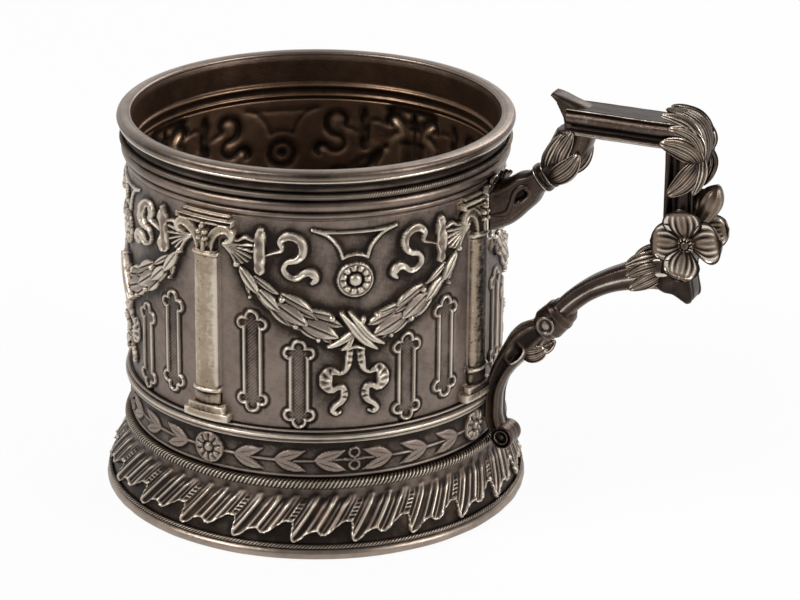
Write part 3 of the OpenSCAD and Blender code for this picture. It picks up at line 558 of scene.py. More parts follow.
# The crossed cords of the middle bow, each with its height
BOW_CORDS = [
    ([(1.6, 47.9, 0.4), (0.5, 46.4, 0.7), (-1.3, 44.6, 0.75), (-3.4, 43.3, 0.6), (-5.2, 42.5, 0.2)], 1.5),
    ([(0.4, 47.0, 0.4), (-0.5, 45.2, 0.6), (-1.3, 42.9, 0.55), (-2.6, 41.9, 0.2)], 1.45),
    ([(-2.7, 49.3, 0.35), (-0.8, 46.8, 0.8), (0.8, 44.6, 0.9), (2.3, 43.1, 0.75), (3.9, 41.9, 0.25)], 2.0),
    ([(-1.1, 49.3, 0.3), (0.7, 46.9, 0.68), (2.1, 45.0, 0.75), (3.6, 43.7, 0.62), (5.4, 42.7, 0.2)], 1.95)]
BOW_KNOT = [(-1.6, 41.9, 0.35), (-0.1, 42.4, 0.45), (1.6, 41.9, 0.35)]
RIBBON_TAIL = [(-1.0, 41.6, 0.8), (-1.3, 38.9, 0.75), (-1.8, 37.4, 0.5), (-2.8, 36.8, 0.4), (-3.7, 37.2, 0.6),
               (-4.7, 37.3, 1.0), (-5.5, 36.1, 1.3), (-5.4, 34.5, 1.2), (-4.4, 33.6, 0.75), (-3.2, 34.1, 0.55),
               (-2.3, 33.8, 0.65), (-2.0, 32.5, 0.8), (-2.5, 31.1, 0.65), (-3.7, 30.2, 0.55), (-4.3, 29.3, 0.5),
               (-3.6, 28.6, 0.45), (-2.8, 28.8, 0.3)]


def ribbons(f):
    """Knotted ribbon: strands from the capitals, a tab and a scroll beside each, crossed cords in the middle and two
    tails."""
    for k, (s, z) in enumerate(STRAND_ENDS):
        middle = ((-25 + s) / 2, (61.5 + z) / 2 + 0.35 - 0.05 * k, 0.24)
        f.lay([(-25.4, 61.6 + 0.08 * k, 0.2), middle, (s, z, 0.28)], wire_shape(0.85 - 0.05 * k))
    f.lay(RIBBON_TAB, ribbon_shape(1.3, 0.5, 0.2, 2.6, 0.0))
    f.lay(RIBBON_TIE, wire_shape(0.85))
    f.lay(RIBBON_SCROLL, ribbon_shape(1.2, 0.45, 0.12, 2.6, 0.2))
    for path, high in BOW_CORDS:
        f.lay(path, cord_shape(high), both=False)
    f.lay(BOW_KNOT, wire_shape(1.2), both=False)
    f.lay(RIBBON_TAIL, ribbon_shape(1.1, 0.45, 0.3, 1.25, 0.15))


# The keystone's wire: its top, a side and its foot, from the middle outwards and back
CREST_TOP = [(0, 65.3, 0.3), (3.0, 65.3, 0.3), (5.6, 65.4, 0.3), (8.0, 65.8, 0.34)]
CREST_SIDE = [(8.0, 65.8, 0.3), (5.4, 64.8, 0.3), (3.7, 63.1, 0.3), (2.8, 61.6, 0.3), (2.4, 60.1, 0.34)]
CREST_FOOT = [(2.4, 60.1, 0.3), (1.3, 60.6, 0.3), (0, 60.8, 0.3)]


def crest(f):
    """Keystone at the top of the panel: a wire round a sunk ground."""
    def sunk(S, Z):
        wide = np.interp(Z, [60.2, 61.6, 63.1, 64.8, 65.4], [2.2, 2.7, 3.6, 5.3, 6.2])
        return -0.3 * ease((wide - np.abs(S)) / 0.5) * band(Z, 60.7, 65.2, 0.4)

    f.add((-9, 9, 59.8, 66.2), sunk)
    for path in (CREST_TOP, CREST_SIDE, CREST_FOOT):
        f.lay(path, wire_shape(0.62))


def roundel(f):
    """Rosette: a thin ring, a ring of petals, a sunk ring and a boss, as functions of the distance and angle from its
    middle."""
    def shape(S, Z):
        r, a = np.hypot(S, Z - 55.8), np.arctan2(Z - 55.8, S)
        top = 0.32 + 0.55 * line(r - 3.25, 0.17) + 0.3 * line(r - 2.85, 0.12)
        petal = hump(r - 2.25, 0.62) * np.abs(np.cos(5.5 * a)) ** 0.6
        top = top + 0.75 * petal - 0.3 * line(r - 1.45, 0.22)
        top = np.where(r < 1.2, 0.45 + 0.85 * hump(r, 1.25), top)
        return within(r / 3.45, top)
    f.raise_to((-4, 4, 51.8, 59.8), shape)


# The capital's middle stalk, its beads as (s, z, radius), and one of its scrolls from its foot to its curled tip
CAPITAL_STALK = [(0, 60.0, 0.42), (0, 61.8, 0.36), (0, 65.4, 0.5)]
CAPITAL_BEADS = [(0.62, 62.6, 0.62), (0.62, 63.9, 0.66), (0, 65.0, 0.6)]
VOLUTE = [(1.0, 59.8, 0.75), (1.3, 61.6, 0.8), (2.1, 63.4, 0.9), (3.6, 64.7, 0.95), (5.2, 64.8, 0.85),
          (6.0, 63.8, 0.65), (5.7, 62.8, 0.45), (5.0, 62.9, 0.35)]


def column_relief():
    """Column with its stepped foot, round shaft, leafy capital and slab, as heights over the wall."""
    f = Relief(np.linspace(-COLUMN_HALF, COLUMN_HALF, 113), np.linspace(PANEL_LOW, PANEL_TOP, 281))
    f.H[:] = BARE
    S, Z = f.S, f.Z
    x = np.abs(S)

    def block(half, low, top, high, crown=0.12, soft=0.18):
        """Flat step, slightly crowned, with softened edges."""
        edge = np.minimum(half - x, np.minimum(Z - low, top - Z))
        body = high * (1 - crown * (x / half) ** 2) - 0.25 * (1 - ease(edge / soft))
        return np.where(edge > 0, body, BARE)

    def ring(half, z, r, high):
        """Half round moulding across the shaft."""
        body = high * hump(x, half) ** 0.6 * (0.55 + 0.45 * hump(Z - z, r))
        return np.where((x < half) & (np.abs(Z - z) < r), body, BARE)

    def volute(e, along, whole, half):
        top = 1.55 + 0.75 * along / whole - 0.28 * (1 - e ** 2) + 0.16 * line(np.abs(e) - 0.82, 0.14)
        return within(e, top * (0.35 + 0.65 * ease((1 - np.abs(e)) * half / 0.2)))

    shaft = np.where((x < 2.65) & (Z > 31) & (Z < 60), 1.9 * hump(S, 2.68) ** 0.75, BARE)
    bell_half = np.interp(Z, [59.8, 62.5, 65.6], [2.3, 2.6, 3.6])
    bell = np.where((x < bell_half) & (Z > 59.6) & (Z < 65.8), 0.75 * hump(x / bell_half, 1.0) ** 0.5, BARE)
    slab = block(6.2, 65.5, 66.75, 2.1, 0.05, 0.2)
    slab = slab - 0.75 * band(Z, 65.75, 66.45, 0.16) * (slab > 0) * (x < 5.9)
    foot = (block(4.9, PANEL_LOW, 27.1, 2.1), block(3.95, 27.0, 28.5, 1.9), ring(2.95, 29.9, 1.6, 1.75),
            ring(3.2, 31.6, 0.5, 2.25))
    necking = ring(3.05, 59.35, 0.45, 2.15), ring(2.7, 58.5, 0.2, 1.8)
    top = block(5.3, 66.75, PANEL_TOP, 1.0, 0.1, 0.3)
    for part in (*foot, *necking, shaft, bell, slab, top):
        f.H = np.maximum(f.H, part)
    f.lay(VOLUTE, volute)
    f.lay(CAPITAL_STALK, lambda e, along, whole, half: within(e, 1.6 + 0.4 * hump(e, 1.0)), both=False)
    for s, z, r in CAPITAL_BEADS:
        for side in (1, -1):
            dome_stamp(f, side * s, z, r, 1.3, 2.6)
    worn = 0.025 * grain(S * 3.1, Z * 2.3, seed=5, waves=20) + 0.012 * grain(S * 7, Z * 6, seed=6, waves=20)
    f.H = np.where(f.H > -1, f.H + worn, -0.3)
    return f


def sample(f, s, z):
    """Height of a relief at any places, by straight-line steps between its points."""
    i = np.clip((s - f.s[0]) / (f.s[1] - f.s[0]), 0, len(f.s) - 1.001)
    j = np.clip((z - f.z[0]) / (f.z[1] - f.z[0]), 0, len(f.z) - 1.001)
    a, b = i.astype(int), j.astype(int)
    u, v = i - a, j - b
    low = f.H[a, b] * (1 - u) * (1 - v) + f.H[a + 1, b] * u * (1 - v)
    return low + f.H[a, b + 1] * (1 - u) * v + f.H[a + 1, b + 1] * u * v


def panel_relief():
    """One quarter of the wall between two columns, with all its ornament, as heights over the wall."""
    f = Relief(np.linspace(-QUARTER_W / 2, QUARTER_W / 2, 291), np.linspace(PANEL_LOW, PANEL_TOP, 213))
    for side in (1, -1):
        lancet_stamp(f, side * 10.6, 25.7, 43.4)
        lancet_stamp(f, side * 19.7, 28.3, 48.8)
    for ornament in (crest, swag, ribbons, roundel):
        ornament(f)
    f.H += 0.02 * grain(f.S * 0.9, f.Z, seed=2, waves=24) + 0.007 * grain(f.S * 5.5, f.Z * 5.5, seed=3, waves=24)
    return f


def add_panel(skin, f, col, turn):
    """A quarter of the wall: the relief outside, and inside the same forms pushed through, softened and sunk. The
    ground close to raised work is darker."""
    away = QUARTER_W / 2 - np.abs(f.S)
    under = np.maximum(sample(col, np.minimum(away, COLUMN_HALF), f.Z), 0)
    under = np.where(away < COLUMN_HALF, 0.85 * under - 0.15, BARE)
    h = np.maximum(f.H, under)
    back_h = 0.6 * blurred(np.maximum(h, 0), 2.0, 2.0)[::2, ::2]
    crowd = blurred((f.H > 0.3) * 1.0, 12, 12) * (1 - ease((f.H - 0.2) / 0.3))
    wear = PLAIN_WEAR + 0.8 * (height_wear(f.H, (0.2, 0.2)) - PLAIN_WEAR) - 0.27 * crowd
    near, far = (back_h - blurred(back_h, size, size) for size in (1.2, 5))
    back_wear = PLAIN_WEAR - 2.4 * near - 0.7 * far
    inside = round_wall(f.S[::2, ::2], f.Z[::2, ::2], back_h, turn, BORE_R)
    skin.plate(round_wall(f.S, f.Z, h, turn), inside, wear, back_wear)


def add_column(skin, col, turn, handle_shade):
    """A column and its capital as a plate let into the wall. Its last value is taken off its wear all over: painted
    shadow and dark reflection of the handle.
    """
    wear = height_wear(np.maximum(col.H, -0.1), (0.118, 0.151), 0.3, 1.1) - handle_shade
    ends = np.abs(col.Z - 45) > 14
    wear = PLAIN_WEAR + (wear - PLAIN_WEAR) * (1 - 0.4 * ends) - 0.14 * ends - 0.12 * (col.Z > 65.2)
    back = 0.85 * blurred(np.maximum(col.H, 0), 4, 3.2)[::4, ::4] - 0.42
    inside = round_wall(col.S[::4, ::4], col.Z[::4, ::4], back, turn)
    skin.plate(round_wall(col.S, col.Z, col.H, turn), inside, wear, BACK_WEAR)


# ---------------------------------------------------------------- rings

def rose_stamp(f, at):
    """Rose of the frieze: a thin ring, a ring of ten petals, a sunk ring and a boss."""
    def shape(S, Z):
        r, a = np.hypot(S - at, Z - 19.1), np.arctan2(Z - 19.1, S - at)
        top = 0.3 + 0.4 * line(r - 3.0, 0.2) + 0.7 * hump(r - 2.0, 0.95) * np.abs(np.cos(5 * a)) ** 0.5
        top = np.where(r < 0.95, 0.4 + 0.75 * hump(r, 1.0), top - 0.25 * line(r - 1.1, 0.2))
        return within(r / 3.2, top)
    f.raise_to((at - 3.4, at + 3.4, 15.6, 22.6), shape)


def frieze_relief():
    """Laurel frieze for one quarter, with the moulded ledge over it, as heights over the wall. Its middle is a
    panel's middle."""
    mid_z = 19.0
    z = np.concatenate([[FRIEZE_LOW, 14.2], np.linspace(15.2, PANEL_LOW, 47)])
    f = Relief(np.linspace(-QUARTER_W / 2, QUARTER_W / 2, 351), z)
    degree = QUARTER_W / 90
    f.lay([(-QUARTER_W / 2, mid_z, 0.2), (-14, 18.6, 0.2), (0, mid_z, 0.2)], wire_shape(0.34))
    for u in (-37.4, -24.7, -12.6):
        for rise, lean in ((20.7, 0.1), (16.6, -0.1)):
            for side in (1, -1):
                s0, s1 = (u + 0.6) * degree * side, (u + 10.2) * degree * side
                angle, long = math.atan2(rise - 18.8, s1 - s0), math.hypot(s1 - s0, rise - 18.8)
                leaf_stamp(f, s0, 18.8 + lean, angle, long, 2.25, 0.34, 0.04, 0.1, 0.14, 1.0)
    for at in (-QUARTER_W / 2, QUARTER_W / 2):
        rose_stamp(f, at)

    def knot(S, Z):
        loops = line(np.hypot(S, np.abs(Z - mid_z) - 1.3) - 0.95, 0.24)
        return 0.62 * np.maximum(loops, line(Z - mid_z, 0.22) * band(S, -1.9, 1.9, 0.4))

    f.add((-3.4, 3.4, 16.4, 21.8), knot)
    f.H += 0.012 * grain(f.S * 4.8, f.Z * 5, seed=9, waves=20)
    Z = f.Z
    ledge = 1.15 * hump(Z - 23.0, 0.3) + 1.4 * hump(Z - 23.92, 0.66) + 1.05 * hump(Z - 25.16, 0.26)
    ledge = np.maximum(ledge, 0.62 * (Z > 22.75) * (Z < 25.39))
    f.H = np.maximum(np.maximum(f.H, ledge), 0.2 * hump(Z - 15.5, 0.3))
    return f


def add_frieze(skin):
    """Four frieze quarters as one closed ring. Its leaves are held darker than its flowers."""
    f = frieze_relief()
    h = np.vstack([f.H[:-1]] * 4)
    s = np.concatenate([f.s[:-1] + k * QUARTER_W for k in range(4)])
    S, Z = np.meshgrid(s, f.z, indexing="ij")
    wear = height_wear(h, (0.166, 0.222)) - PLAIN_WEAR
    flower = np.abs((S + QUARTER_W / 2 + 3.3) % QUARTER_W - 3.3) < 3.3
    leaves = (Z < 22.6) & ~flower
    wear = np.where(leaves, np.clip(0.43 + 0.85 * wear, 0, 0.74), 0.42 + 0.5 * wear)
    wear[:, :2] = 0.3
    S2, Z2 = np.meshgrid(s[::4], np.linspace(FRIEZE_LOW, PANEL_LOW, 9), indexing="ij")
    turn = QUARTERS[0] + 45
    skin.plate(round_wall(S, Z, h, turn), round_wall(S2, Z2, 0, turn, BORE_R), wear, BACK_WEAR, wrap=True)


def arc(r0, z0, r, start, end, n):
    """Points on a circle's arc, in degrees."""
    a = np.radians(np.linspace(start, end, n))
    return np.stack([r0 + r * np.cos(a), z0 + r * np.sin(a)], -1)


def outline_points(parts, count):
    """Radius and height at even steps round a closed outline, given in parts."""
    p = np.vstack([np.asarray(k, float) for k in parts])
    return evenly(np.vstack([p, p[:1]]), count + 1, 2)[0][:-1].T


# Neck and lip: two beads, the seat of the rope, a cove, a band and the rolled top, then the two ridges inside
LIP = [
    [[BORE_R, 67.6], [WALL_R, 67.6], [37.0, 68.0]],
    arc(36.95, 68.62, 0.58, -75, 75, 9),
    [[37.05, 69.4], [37.0, 69.7]],
    arc(37.1, 70.55, 1.08, -62, 68, 13),
    [[37.3, 71.75], [37.25, 72.1], [37.25, 73.2]],
    [[37.55, 73.55], [37.62, 74.1], [37.85, 74.75], [38.2, 75.2], [38.5, 75.38]],
    arc(38.5, 75.7, 0.2, -60, 60, 5),
    [[38.42, 76.02]],
    arc(38.0, 76.68, 0.98, -38, 62, 13),
    [[38.1, 77.62], [37.5, 77.7], [36.9, 77.62]],
    arc(36.62, 77.2, 0.44, 80, 200, 9),
    [[36.1, 76.6], [BORE_R, 76.0], [BORE_R, 71.4]],
    arc(36.05, 70.5, 0.55, 110, 250, 9),
    [[BORE_R, 69.5], [BORE_R, 69.0]],
    arc(36.05, 68.4, 0.38, 110, 250, 7)]
# The foot's plain heavy ring: a half round outside and a square shoulder inside
FOOT_RING = [[[40.2, 0.05], [40.5, 0.0], [41.2, 0.0]], arc(41.27, 1.15, 1.13, -88, 88, 15),
             [[41.2, 2.3], [40.4, 2.3], [40.2, 2.2], [40.2, 1.2]]]
RING_STEPS = 480


def add_lip(skin):
    """Neck and lip turned as one ring: smooth, with a painted dark reflection on the roll, painted highlights on
    its two edges, painted shade under the lip, and brown on what faces the glass."""
    r, z = outline_points(LIP, 151)
    grid = around_axis(angles(RING_STEPS)[:, None], r, z)
    wear = 0.46 + 0.55 * (point_wear(grid, (True, True), broad=1.0, gain=(1.6, 0.5)) - PLAIN_WEAR)
    outer = r > 36.75
    # Painted light on the outer face: highlight lines on the edges at z 75.72 and 77.66, a dark reflection on the roll
    # at z 76.9 and shade under the lip at z 74.7; below z 74.5 it is a little darker
    edges = 0.5 * line(z - 75.72, 0.24) + 0.3 * line(z - 77.66, 0.12)
    hollows = 0.26 * line(z - 76.9, 0.5) + 0.35 * line(z - 74.7, 0.3) + 0.1 * (z < 74.5)
    skin.hoop(grid, wear + outer * (edges - hollows), bore=~outer * ease((77.2 - z) / 1.5))


def rope(skin, ring_r, z, r, strands, along, around):
    """Twisted wire of four lobes: the radius of its section swings between 0.64 and 1 with half the sine of the lobes'
    angle less the strands' angle."""
    a, b = angles(along)[:, None], angles(around)[None, :]
    fold = np.abs(np.sin((4 * b - strands * a) / 2))
    rr = r * (0.64 + 0.36 * fold ** 0.7)
    grid = around_axis(a, ring_r + rr * np.cos(b), z + rr * np.sin(b))
    skin.hoop(grid, (1.05 * fold ** 1.4 - 0.05) * (0.75 + 0.25 * np.cos(b - 0.1)))


FOOT_LOW = 2.3


def flare(t):
    """Radius and height of the plain foot sheet: an ogee of half a cosine wave."""
    bend = (1 - np.cos(math.pi * np.clip(t, 0, 1) ** 0.9)) / 2
    return WALL_R + 5.5 * (0.07 + 0.71 * bend), FRIEZE_LOW - (FRIEZE_LOW - FOOT_LOW) * t


# Height of the collar's hem over one repeat of the pattern, and its ridges as (place, width, height)
HEM = [(0.0, 3.4), (0.045, 3.9), (0.085, 5.0), (0.2, 5.7), (0.27, 5.1), (0.34, 4.7), (0.41, 4.8), (0.48, 5.8),
       (0.55, 6.9), (0.62, 7.2), (0.69, 7.1), (0.76, 6.3), (0.83, 4.9), (0.9, 3.9), (0.955, 3.4), (1.0, 3.4)]
RIDGES = [(0.07, 0.03, 0.5), (0.2, 0.045, 0.95), (0.32, 0.025, 0.35), (0.43, 0.042, 0.7), (0.53, 0.02, 0.3),
          (0.8, 0.022, 0.35), (0.88, 0.04, 0.85)]
PLEAT_GROUPS = 22


def foot_heights(angle, z):
    """Pleated collar on the foot: sharp ridges and flutes that repeat round it and lean, over a jagged hem with a
    raised rim, and a leaning strip with five punched holes in each repeat. Also gives 1 on the collar and 0 below."""
    lean = 7.6 * (z - 3.4) / 7.1
    p = (np.degrees(angle) - lean + 4.75) * PLEAT_GROUPS / 360 % 1
    hem = np.interp(p, *zip(*HEM))
    fold = 0.3 + sum(high * line((p - at + 0.5) % 1 - 0.5, wide) for at, wide, high in RIDGES)
    strip = band(p, 0.6, 0.72, 0.02)
    holes = sum(line(z - 8.0 - 0.62 * k, 0.17) for k in range(5)) * band(p, 0.62, 0.71, 0.015)
    fold = fold + 0.62 * strip * (z > 7.3) - 0.75 * holes
    top = 11.6 - 0.35 * np.cos(TURN * 3 * p)
    over = ease((z - hem) / 0.2)
    lift = (0.16 + 0.56 * fold) * (1 - ease((z - top + 1.9) / 1.9))
    rim = 0.34 * line(z - hem - 0.28, 0.24) * (z > hem - 0.1)
    return over * (lift + rim), over


def add_foot(skin):
    """Flared foot sheet with its pleated collar outside and a plain face inside."""
    a = angles(1320)
    t = np.concatenate([np.linspace(0, 0.16, 5)[:-1], np.linspace(0.16, 1, 65)])
    A, T = np.meshgrid(a, t, indexing="ij")
    R, Z = flare(T)
    lift, over = foot_heights(A, Z)
    near, far = (lift - blurred(lift, *sizes) for sizes in ((1.5, 2.6), (4.5, 7)))
    # Painted shadow of the hem: the flare under the pleated collar is darker between z 2 and 7.5
    wear = 0.36 + 0.14 * ease((Z - 10.6) / 0.8) - 0.1 * (1 - over) * band(Z, 2.0, 7.5, 0.5)
    wear = wear + 2.4 * near + 0.75 * far
    A2, T2 = np.meshgrid(a[::4], np.linspace(0, 1, 20), indexing="ij")
    R2, Z2 = flare(T2)
    skin.plate(around_axis(A, R + lift, Z), around_axis(A2, R2 - 0.8, Z2), wear, BACK_WEAR, wrap=True)


def add_foot_ring(skin):
    """Plain heavy ring that the foot stands on, slightly rippled."""
    r, z = outline_points(FOOT_RING, 40)
    a = angles(RING_STEPS)[:, None]
    ripple = 0.05 * grain(np.cos(a) * 22, np.sin(a) * 22, seed=4, waves=12)
    skin.hoop(around_axis(a, r + ripple, z), broad=0.8, gain=(1.2, 0.3))


# ---------------------------------------------------------------- handle

def swept(rows, section, steps, around, first=None, last=None):
    """Tube along a smooth path in the handle's plane. Each row is (x, z, half depth, half width). The section gives
    the depth and width shares for the share of the way along, the angle round it, with the angle 0 on the outer edge,
    and the distance along. The first and last values turn the path's heading at its ends to a given angle."""
    p, at = evenly(smooth_run(rows, 12), steps, 2)
    x, z, half_d, half_w = p.T[:, :, None]
    heading = np.unwrap(np.arctan2(np.gradient(p[:, 1]), np.gradient(p[:, 0])))
    for turn, away in ((first, at), (last, at[-1] - at)):
        if turn is not None:
            share = np.clip(away / (0.14 * at[-1]), 0, 1)
            heading = heading * share + turn * (1 - share)
    up, across = section((at / at[-1])[:, None], angles(around)[None, :], at[:, None])
    up = up * half_d
    nx, nz = -np.sin(heading)[:, None], np.cos(heading)[:, None]
    return np.stack([x + nx * up, across * half_w, z + nz * up], -1)


def soft_box(b, square):
    """Rounded box section: the cosine and sine, each raised to a power under 1."""
    c, s = np.cos(b), np.sin(b)
    return np.sign(c) * np.abs(c) ** square, np.sign(s) * np.abs(s) ** square


def ridged(ridges, deep, power=0.62):
    """Rounded section with ridges along its two sides: each ridge is a narrow hump in the way up the side."""
    def section(t, b, at):
        up, across = soft_box(b, power)
        side = sum(line(up - place, wide) * high for place, wide, high in ridges)
        bulge = 1 + deep * side * (np.abs(across) > 0.3)
        worn = 1 + 0.012 * grain(at * 0.9, np.cos(b) * 2.6, np.sin(b) * 2.6, seed=11, waves=16)
        return up * worn, across * bulge * worn
    return section


def dished(p, x, z, angle, long, wide, deep, rim):
    """Sinks an almond dish into both sides of a tube: its gap is the distance in shares of its half length and half
    width."""
    u = (p[..., 0] - x) * math.cos(angle) + (p[..., 2] - z) * math.sin(angle)
    v = (p[..., 2] - z) * math.cos(angle) - (p[..., 0] - x) * math.sin(angle)
    gap = np.hypot(u / long, v / wide)
    sides = np.sign(p[..., 1]) * (np.abs(p[..., 1]) > 0.8)
    out = p.copy()
    out[..., 1] += sides * (rim * line(gap - 1.25, 0.2) - deep * ease((1.05 - gap) / 0.5))
    return out


def add_neck(skin):
    """Swan neck from the socket to the riser, with an almond dish and a raised scroll line on each side."""
    rows = [(38.6, 63.8, 5.0, 4.0), (40.6, 64.6, 4.25, 3.55), (42.8, 66.2, 3.7, 3.2), (45.0, 68.1, 3.35, 2.9),
            (46.6, 69.4, 2.5, 2.6), (48.4, 70.9, 2.5, 2.56)]
    tube = swept(rows, ridged([(0.7, 0.12, 0.8), (-0.78, 0.12, 0.8)], 0.12), 80, 72, first=0.0)
    skin.tube(dished(tube, 44.3, 67.0, 0.66, 1.9, 0.85, 0.9, 0.14), broad=1.0, gain=(1.4, 0.5))
    path = [(38.7, 62.6, 0.35), (40.2, 62.9, 0.5), (41.9, 63.6, 0.55), (42.6, 65.2, 0.5), (43.3, 67.6, 0.5),
            (44.6, 68.9, 0.45), (46.1, 69.0, 0.3)]
    for side in (-1, 1):
        add_wire(skin, [(x, side * (3.45 - 0.16 * k), z, r * 1.3) for k, (x, z, r) in enumerate(path)])


def add_wire(skin, rows):
    """Round wire along a smooth path of rows (x, y, z, radius), with its ends drawn in."""
    p = smooth_run(rows, 12)
    length = np.linalg.norm(np.diff(p[:, :3], axis=0), axis=1).sum()
    p, at = evenly(p, max(8, int(length / 0.22)), 3)
    d = unit(np.gradient(p[:, :3], axis=0))
    side = np.cross(d, [0.0, 1.0, 0.0])
    weak = np.linalg.norm(side, axis=1) < 0.2
    side[weak] = np.cross(d[weak], [0.0, 0.0, 1.0])
    side = unit(side)
    other = np.cross(d, side)
    r = p[:, 3] * np.clip(np.sqrt(np.minimum(at, at[-1] - at) / (0.9 * p[:, 3]) + 0.05), 0, 1)
    b = angles(12)[None, :]
    ring = np.cos(b)[..., None] * side[:, None] + np.sin(b)[..., None] * other[:, None]
    wear = np.broadcast_to(0.42 + 0.12 * np.abs(np.sin(b)), ring.shape[:2])
    skin.tube(p[:, None, :3] + r[:, None, None] * ring, wear)


def leaf_wear(front, side, *sizes):
    """Wear of a leaf's front, with its columns turned round where it lies on the handle's far side."""
    return point_wear(front[:, ::side], (False, False), *sizes)[:, ::side]


def leaf_sheet(skin, path, side, wide, dome, thick, grooves, curl, full=0.85, root=0.45, count=(42, 30),
               depth_axis=(0.0, 1.0, 0.0)):
    """Plump leaf along a smooth path of places (x, y, z). Its half width is the sine of pi times the way along, to
    the power 0.6; it is domed across, creased along the middle, grooved by lines that fan from its base, rimmed, and
    its tip curls outwards. It is a closed plate: the back is the front moved inwards by the thickness, which fades to
    the edge."""
    c, at = evenly(smooth_run(np.array(path, float), 12), count[0], 3)
    d = unit(np.gradient(c, axis=0))
    flat = unit(np.cross(d, np.array(depth_axis) * side))
    out = np.cross(flat, d)
    t = (at / at[-1])[:, None]
    e = np.sin(np.linspace(-1, 1, count[1]) * math.pi / 2)[None, :]
    half = wide * np.maximum(np.sin(math.pi * t ** full) ** 0.6, root * (1 - t / 0.35).clip(0, 1) ** 0.5 + 0.02)
    y = e * half
    rise = dome * (1 - e ** 2) ** 0.8 * (0.45 + 0.55 * np.sin(math.pi * t) ** 0.7)
    rise = rise - 0.24 * line(y, 0.16) + 0.2 * line(np.abs(e) - 0.9, 0.07)
    for k in range(1, grooves + 1):
        rise = rise - 0.17 * line((np.abs(e) - k / (grooves + 1)) * half, 0.12) * band(t, 0.06, 0.86, 0.1)
    rise = rise + curl * ease((t - 0.6) / 0.4)
    front = c[:, None] + y[..., None] * flat[:, None] + rise[..., None] * out[:, None]
    edge = (1 - e ** 8) * np.clip(np.minimum(t, 1 - t) / 0.03, 0, 1)
    back = front - (thick * edge)[..., None] * out[:, None]
    skin.sheet(front, back, leaf_wear(front, side, 0.3, 1.2, (3.4, 0.9)) - 0.42 * (1 - t) ** 3 + 0.1 * t)


# Half outline of the moulded bar, from the middle of its outer face to the middle of its inner face, as shares (out,
# across): a flat with a raised edge, a groove, a broad round band, a hollow and a lower ridge
BAR_OUTLINE = [(1.0, 0.0), (0.99, 0.5), (0.99, 0.78), (1.0, 0.9), (0.93, 0.98), (0.86, 0.96), (0.8, 0.84),
               (0.72, 0.82), (0.66, 0.92), (0.52, 1.02), (0.3, 1.08), (0.08, 1.05), (-0.08, 0.94), (-0.2, 0.78),
               (-0.36, 0.7), (-0.5, 0.72), (-0.6, 0.84), (-0.72, 0.97), (-0.85, 1.0), (-0.97, 0.93), (-1.0, 0.78),
               (-0.97, 0.5), (-0.96, 0.0)]
BAR_CORNER = (75.85, 83.35)


def bar_ring(width, depth):
    """The whole outline of the bar: the half outline and its mirror image."""
    o, a = smooth_run(BAR_OUTLINE, 3).T * [[depth / 2], [width / 2]]
    return np.concatenate([o, o[-2:0:-1]]), np.concatenate([a, -a[-2:0:-1]])


def add_bar(skin):
    """Bar and upright in one mitred piece: the moulding is carried along the bar, turned at the mitre and carried
    down."""
    (bar_out, bar_wide), (post_out, post_wide) = bar_ring(6.4, 5.3), bar_ring(5.8, 5.7)
    mean_wide = (bar_wide + post_wide) / 2
    cx, cz = BAR_CORNER
    x = np.concatenate([np.linspace(53.2, 72.0, 60), np.linspace(72.3, cx, 10)[:-1]])[:, None]
    z = np.concatenate([np.linspace(cz, 79.5, 10)[1:], np.linspace(79.2, 59.6, 56)])[:, None]
    share = ease((x - 69.5) / (cx - 69.5))
    wide = bar_wide * (1 - share) + share * mean_wide
    bar = np.stack(np.broadcast_arrays(x + share * bar_out * 0.98, wide, cz + bar_out), -1)
    mean_out = (bar_out + post_out) / 2
    mitre = np.stack([cx + mean_out, mean_wide, cz + mean_out], -1)[None]
    share = ease((z - 77.2) / (cz - 77.2))
    wide = post_wide * (1 - share) + share * mean_wide
    post = np.stack(np.broadcast_arrays(cx + post_out, wide, z + share * post_out), -1)
    p = np.concatenate([bar, mitre, post])
    worn = 0.02 * grain(p[..., 0] * 0.9, p[..., 1] * 1.1, p[..., 2] * 0.9, seed=13, waves=18)
    p = p + worn[..., None] * unit(p - np.array([cx - 8, 0, cz - 8]))
    wear = point_wear(p, (False, True), gain=(1.3, 0.45))
    wear[len(bar):] = 0.3 + 0.45 * (wear[len(bar):] - PLAIN_WEAR)
    skin.tube(p, wear)


def add_riser(skin):
    """Riser from the collar to the bar."""
    rows = [(48.7, 70.9, 2.5, 2.56), (49.6, 71.9, 2.6, 2.6), (51.0, 73.7, 2.85, 2.75), (52.8, 76.2, 3.15, 2.95),
            (54.0, 78.7, 3.45, 3.0), (54.7, 81.2, 3.7, 3.0)]
    skin.tube(swept(rows, ridged([(0.5, 0.2, 1.0), (-0.5, 0.2, 1.0)], 0.07), 48, 48, last=math.pi / 2))


def add_collar(skin):
    """Moulded collar round the handle: two rounded rims and a hollow between them."""
    def section(t, b, at):
        up, across = soft_box(b, 0.75)
        bulge = 1.02 + 0.24 * (line(t - 0.2, 0.13) + line(t - 0.8, 0.13)) + 0.1 * line(t - 0.5, 0.1)
        return up * bulge, across * bulge
    rows = [(47.6, 70.2, 2.45, 2.45), (48.4, 70.85, 2.3, 2.35), (49.1, 71.4, 2.3, 2.35), (49.9, 72.0, 2.4, 2.45)]
    skin.tube(swept(rows, section, 30, 40))


def add_arm(skin):
    """Arm from the lower corner down to the knot, with long ridges on its sides."""
    rows = [(76.4, 56.0, 3.5, 2.5), (73.4, 55.9, 3.8, 2.68), (70.5, 55.3, 3.4, 2.65), (67.6, 54.1, 2.95, 2.6),
            (64.8, 53.1, 2.5, 2.5), (61.9, 51.8, 2.2, 2.42), (59.3, 50.3, 2.1, 2.4), (57.0, 48.6, 2.05, 2.38),
            (54.9, 46.7, 2.05, 2.37), (53.1, 44.7, 2.1, 2.37), (51.8, 43.0, 2.1, 2.37)]
    skin.tube(swept(rows, ridged([(0.72, 0.12, 1.0), (0.05, 0.17, 1.1), (-0.72, 0.12, 1.0)], 0.12), 120, 64))


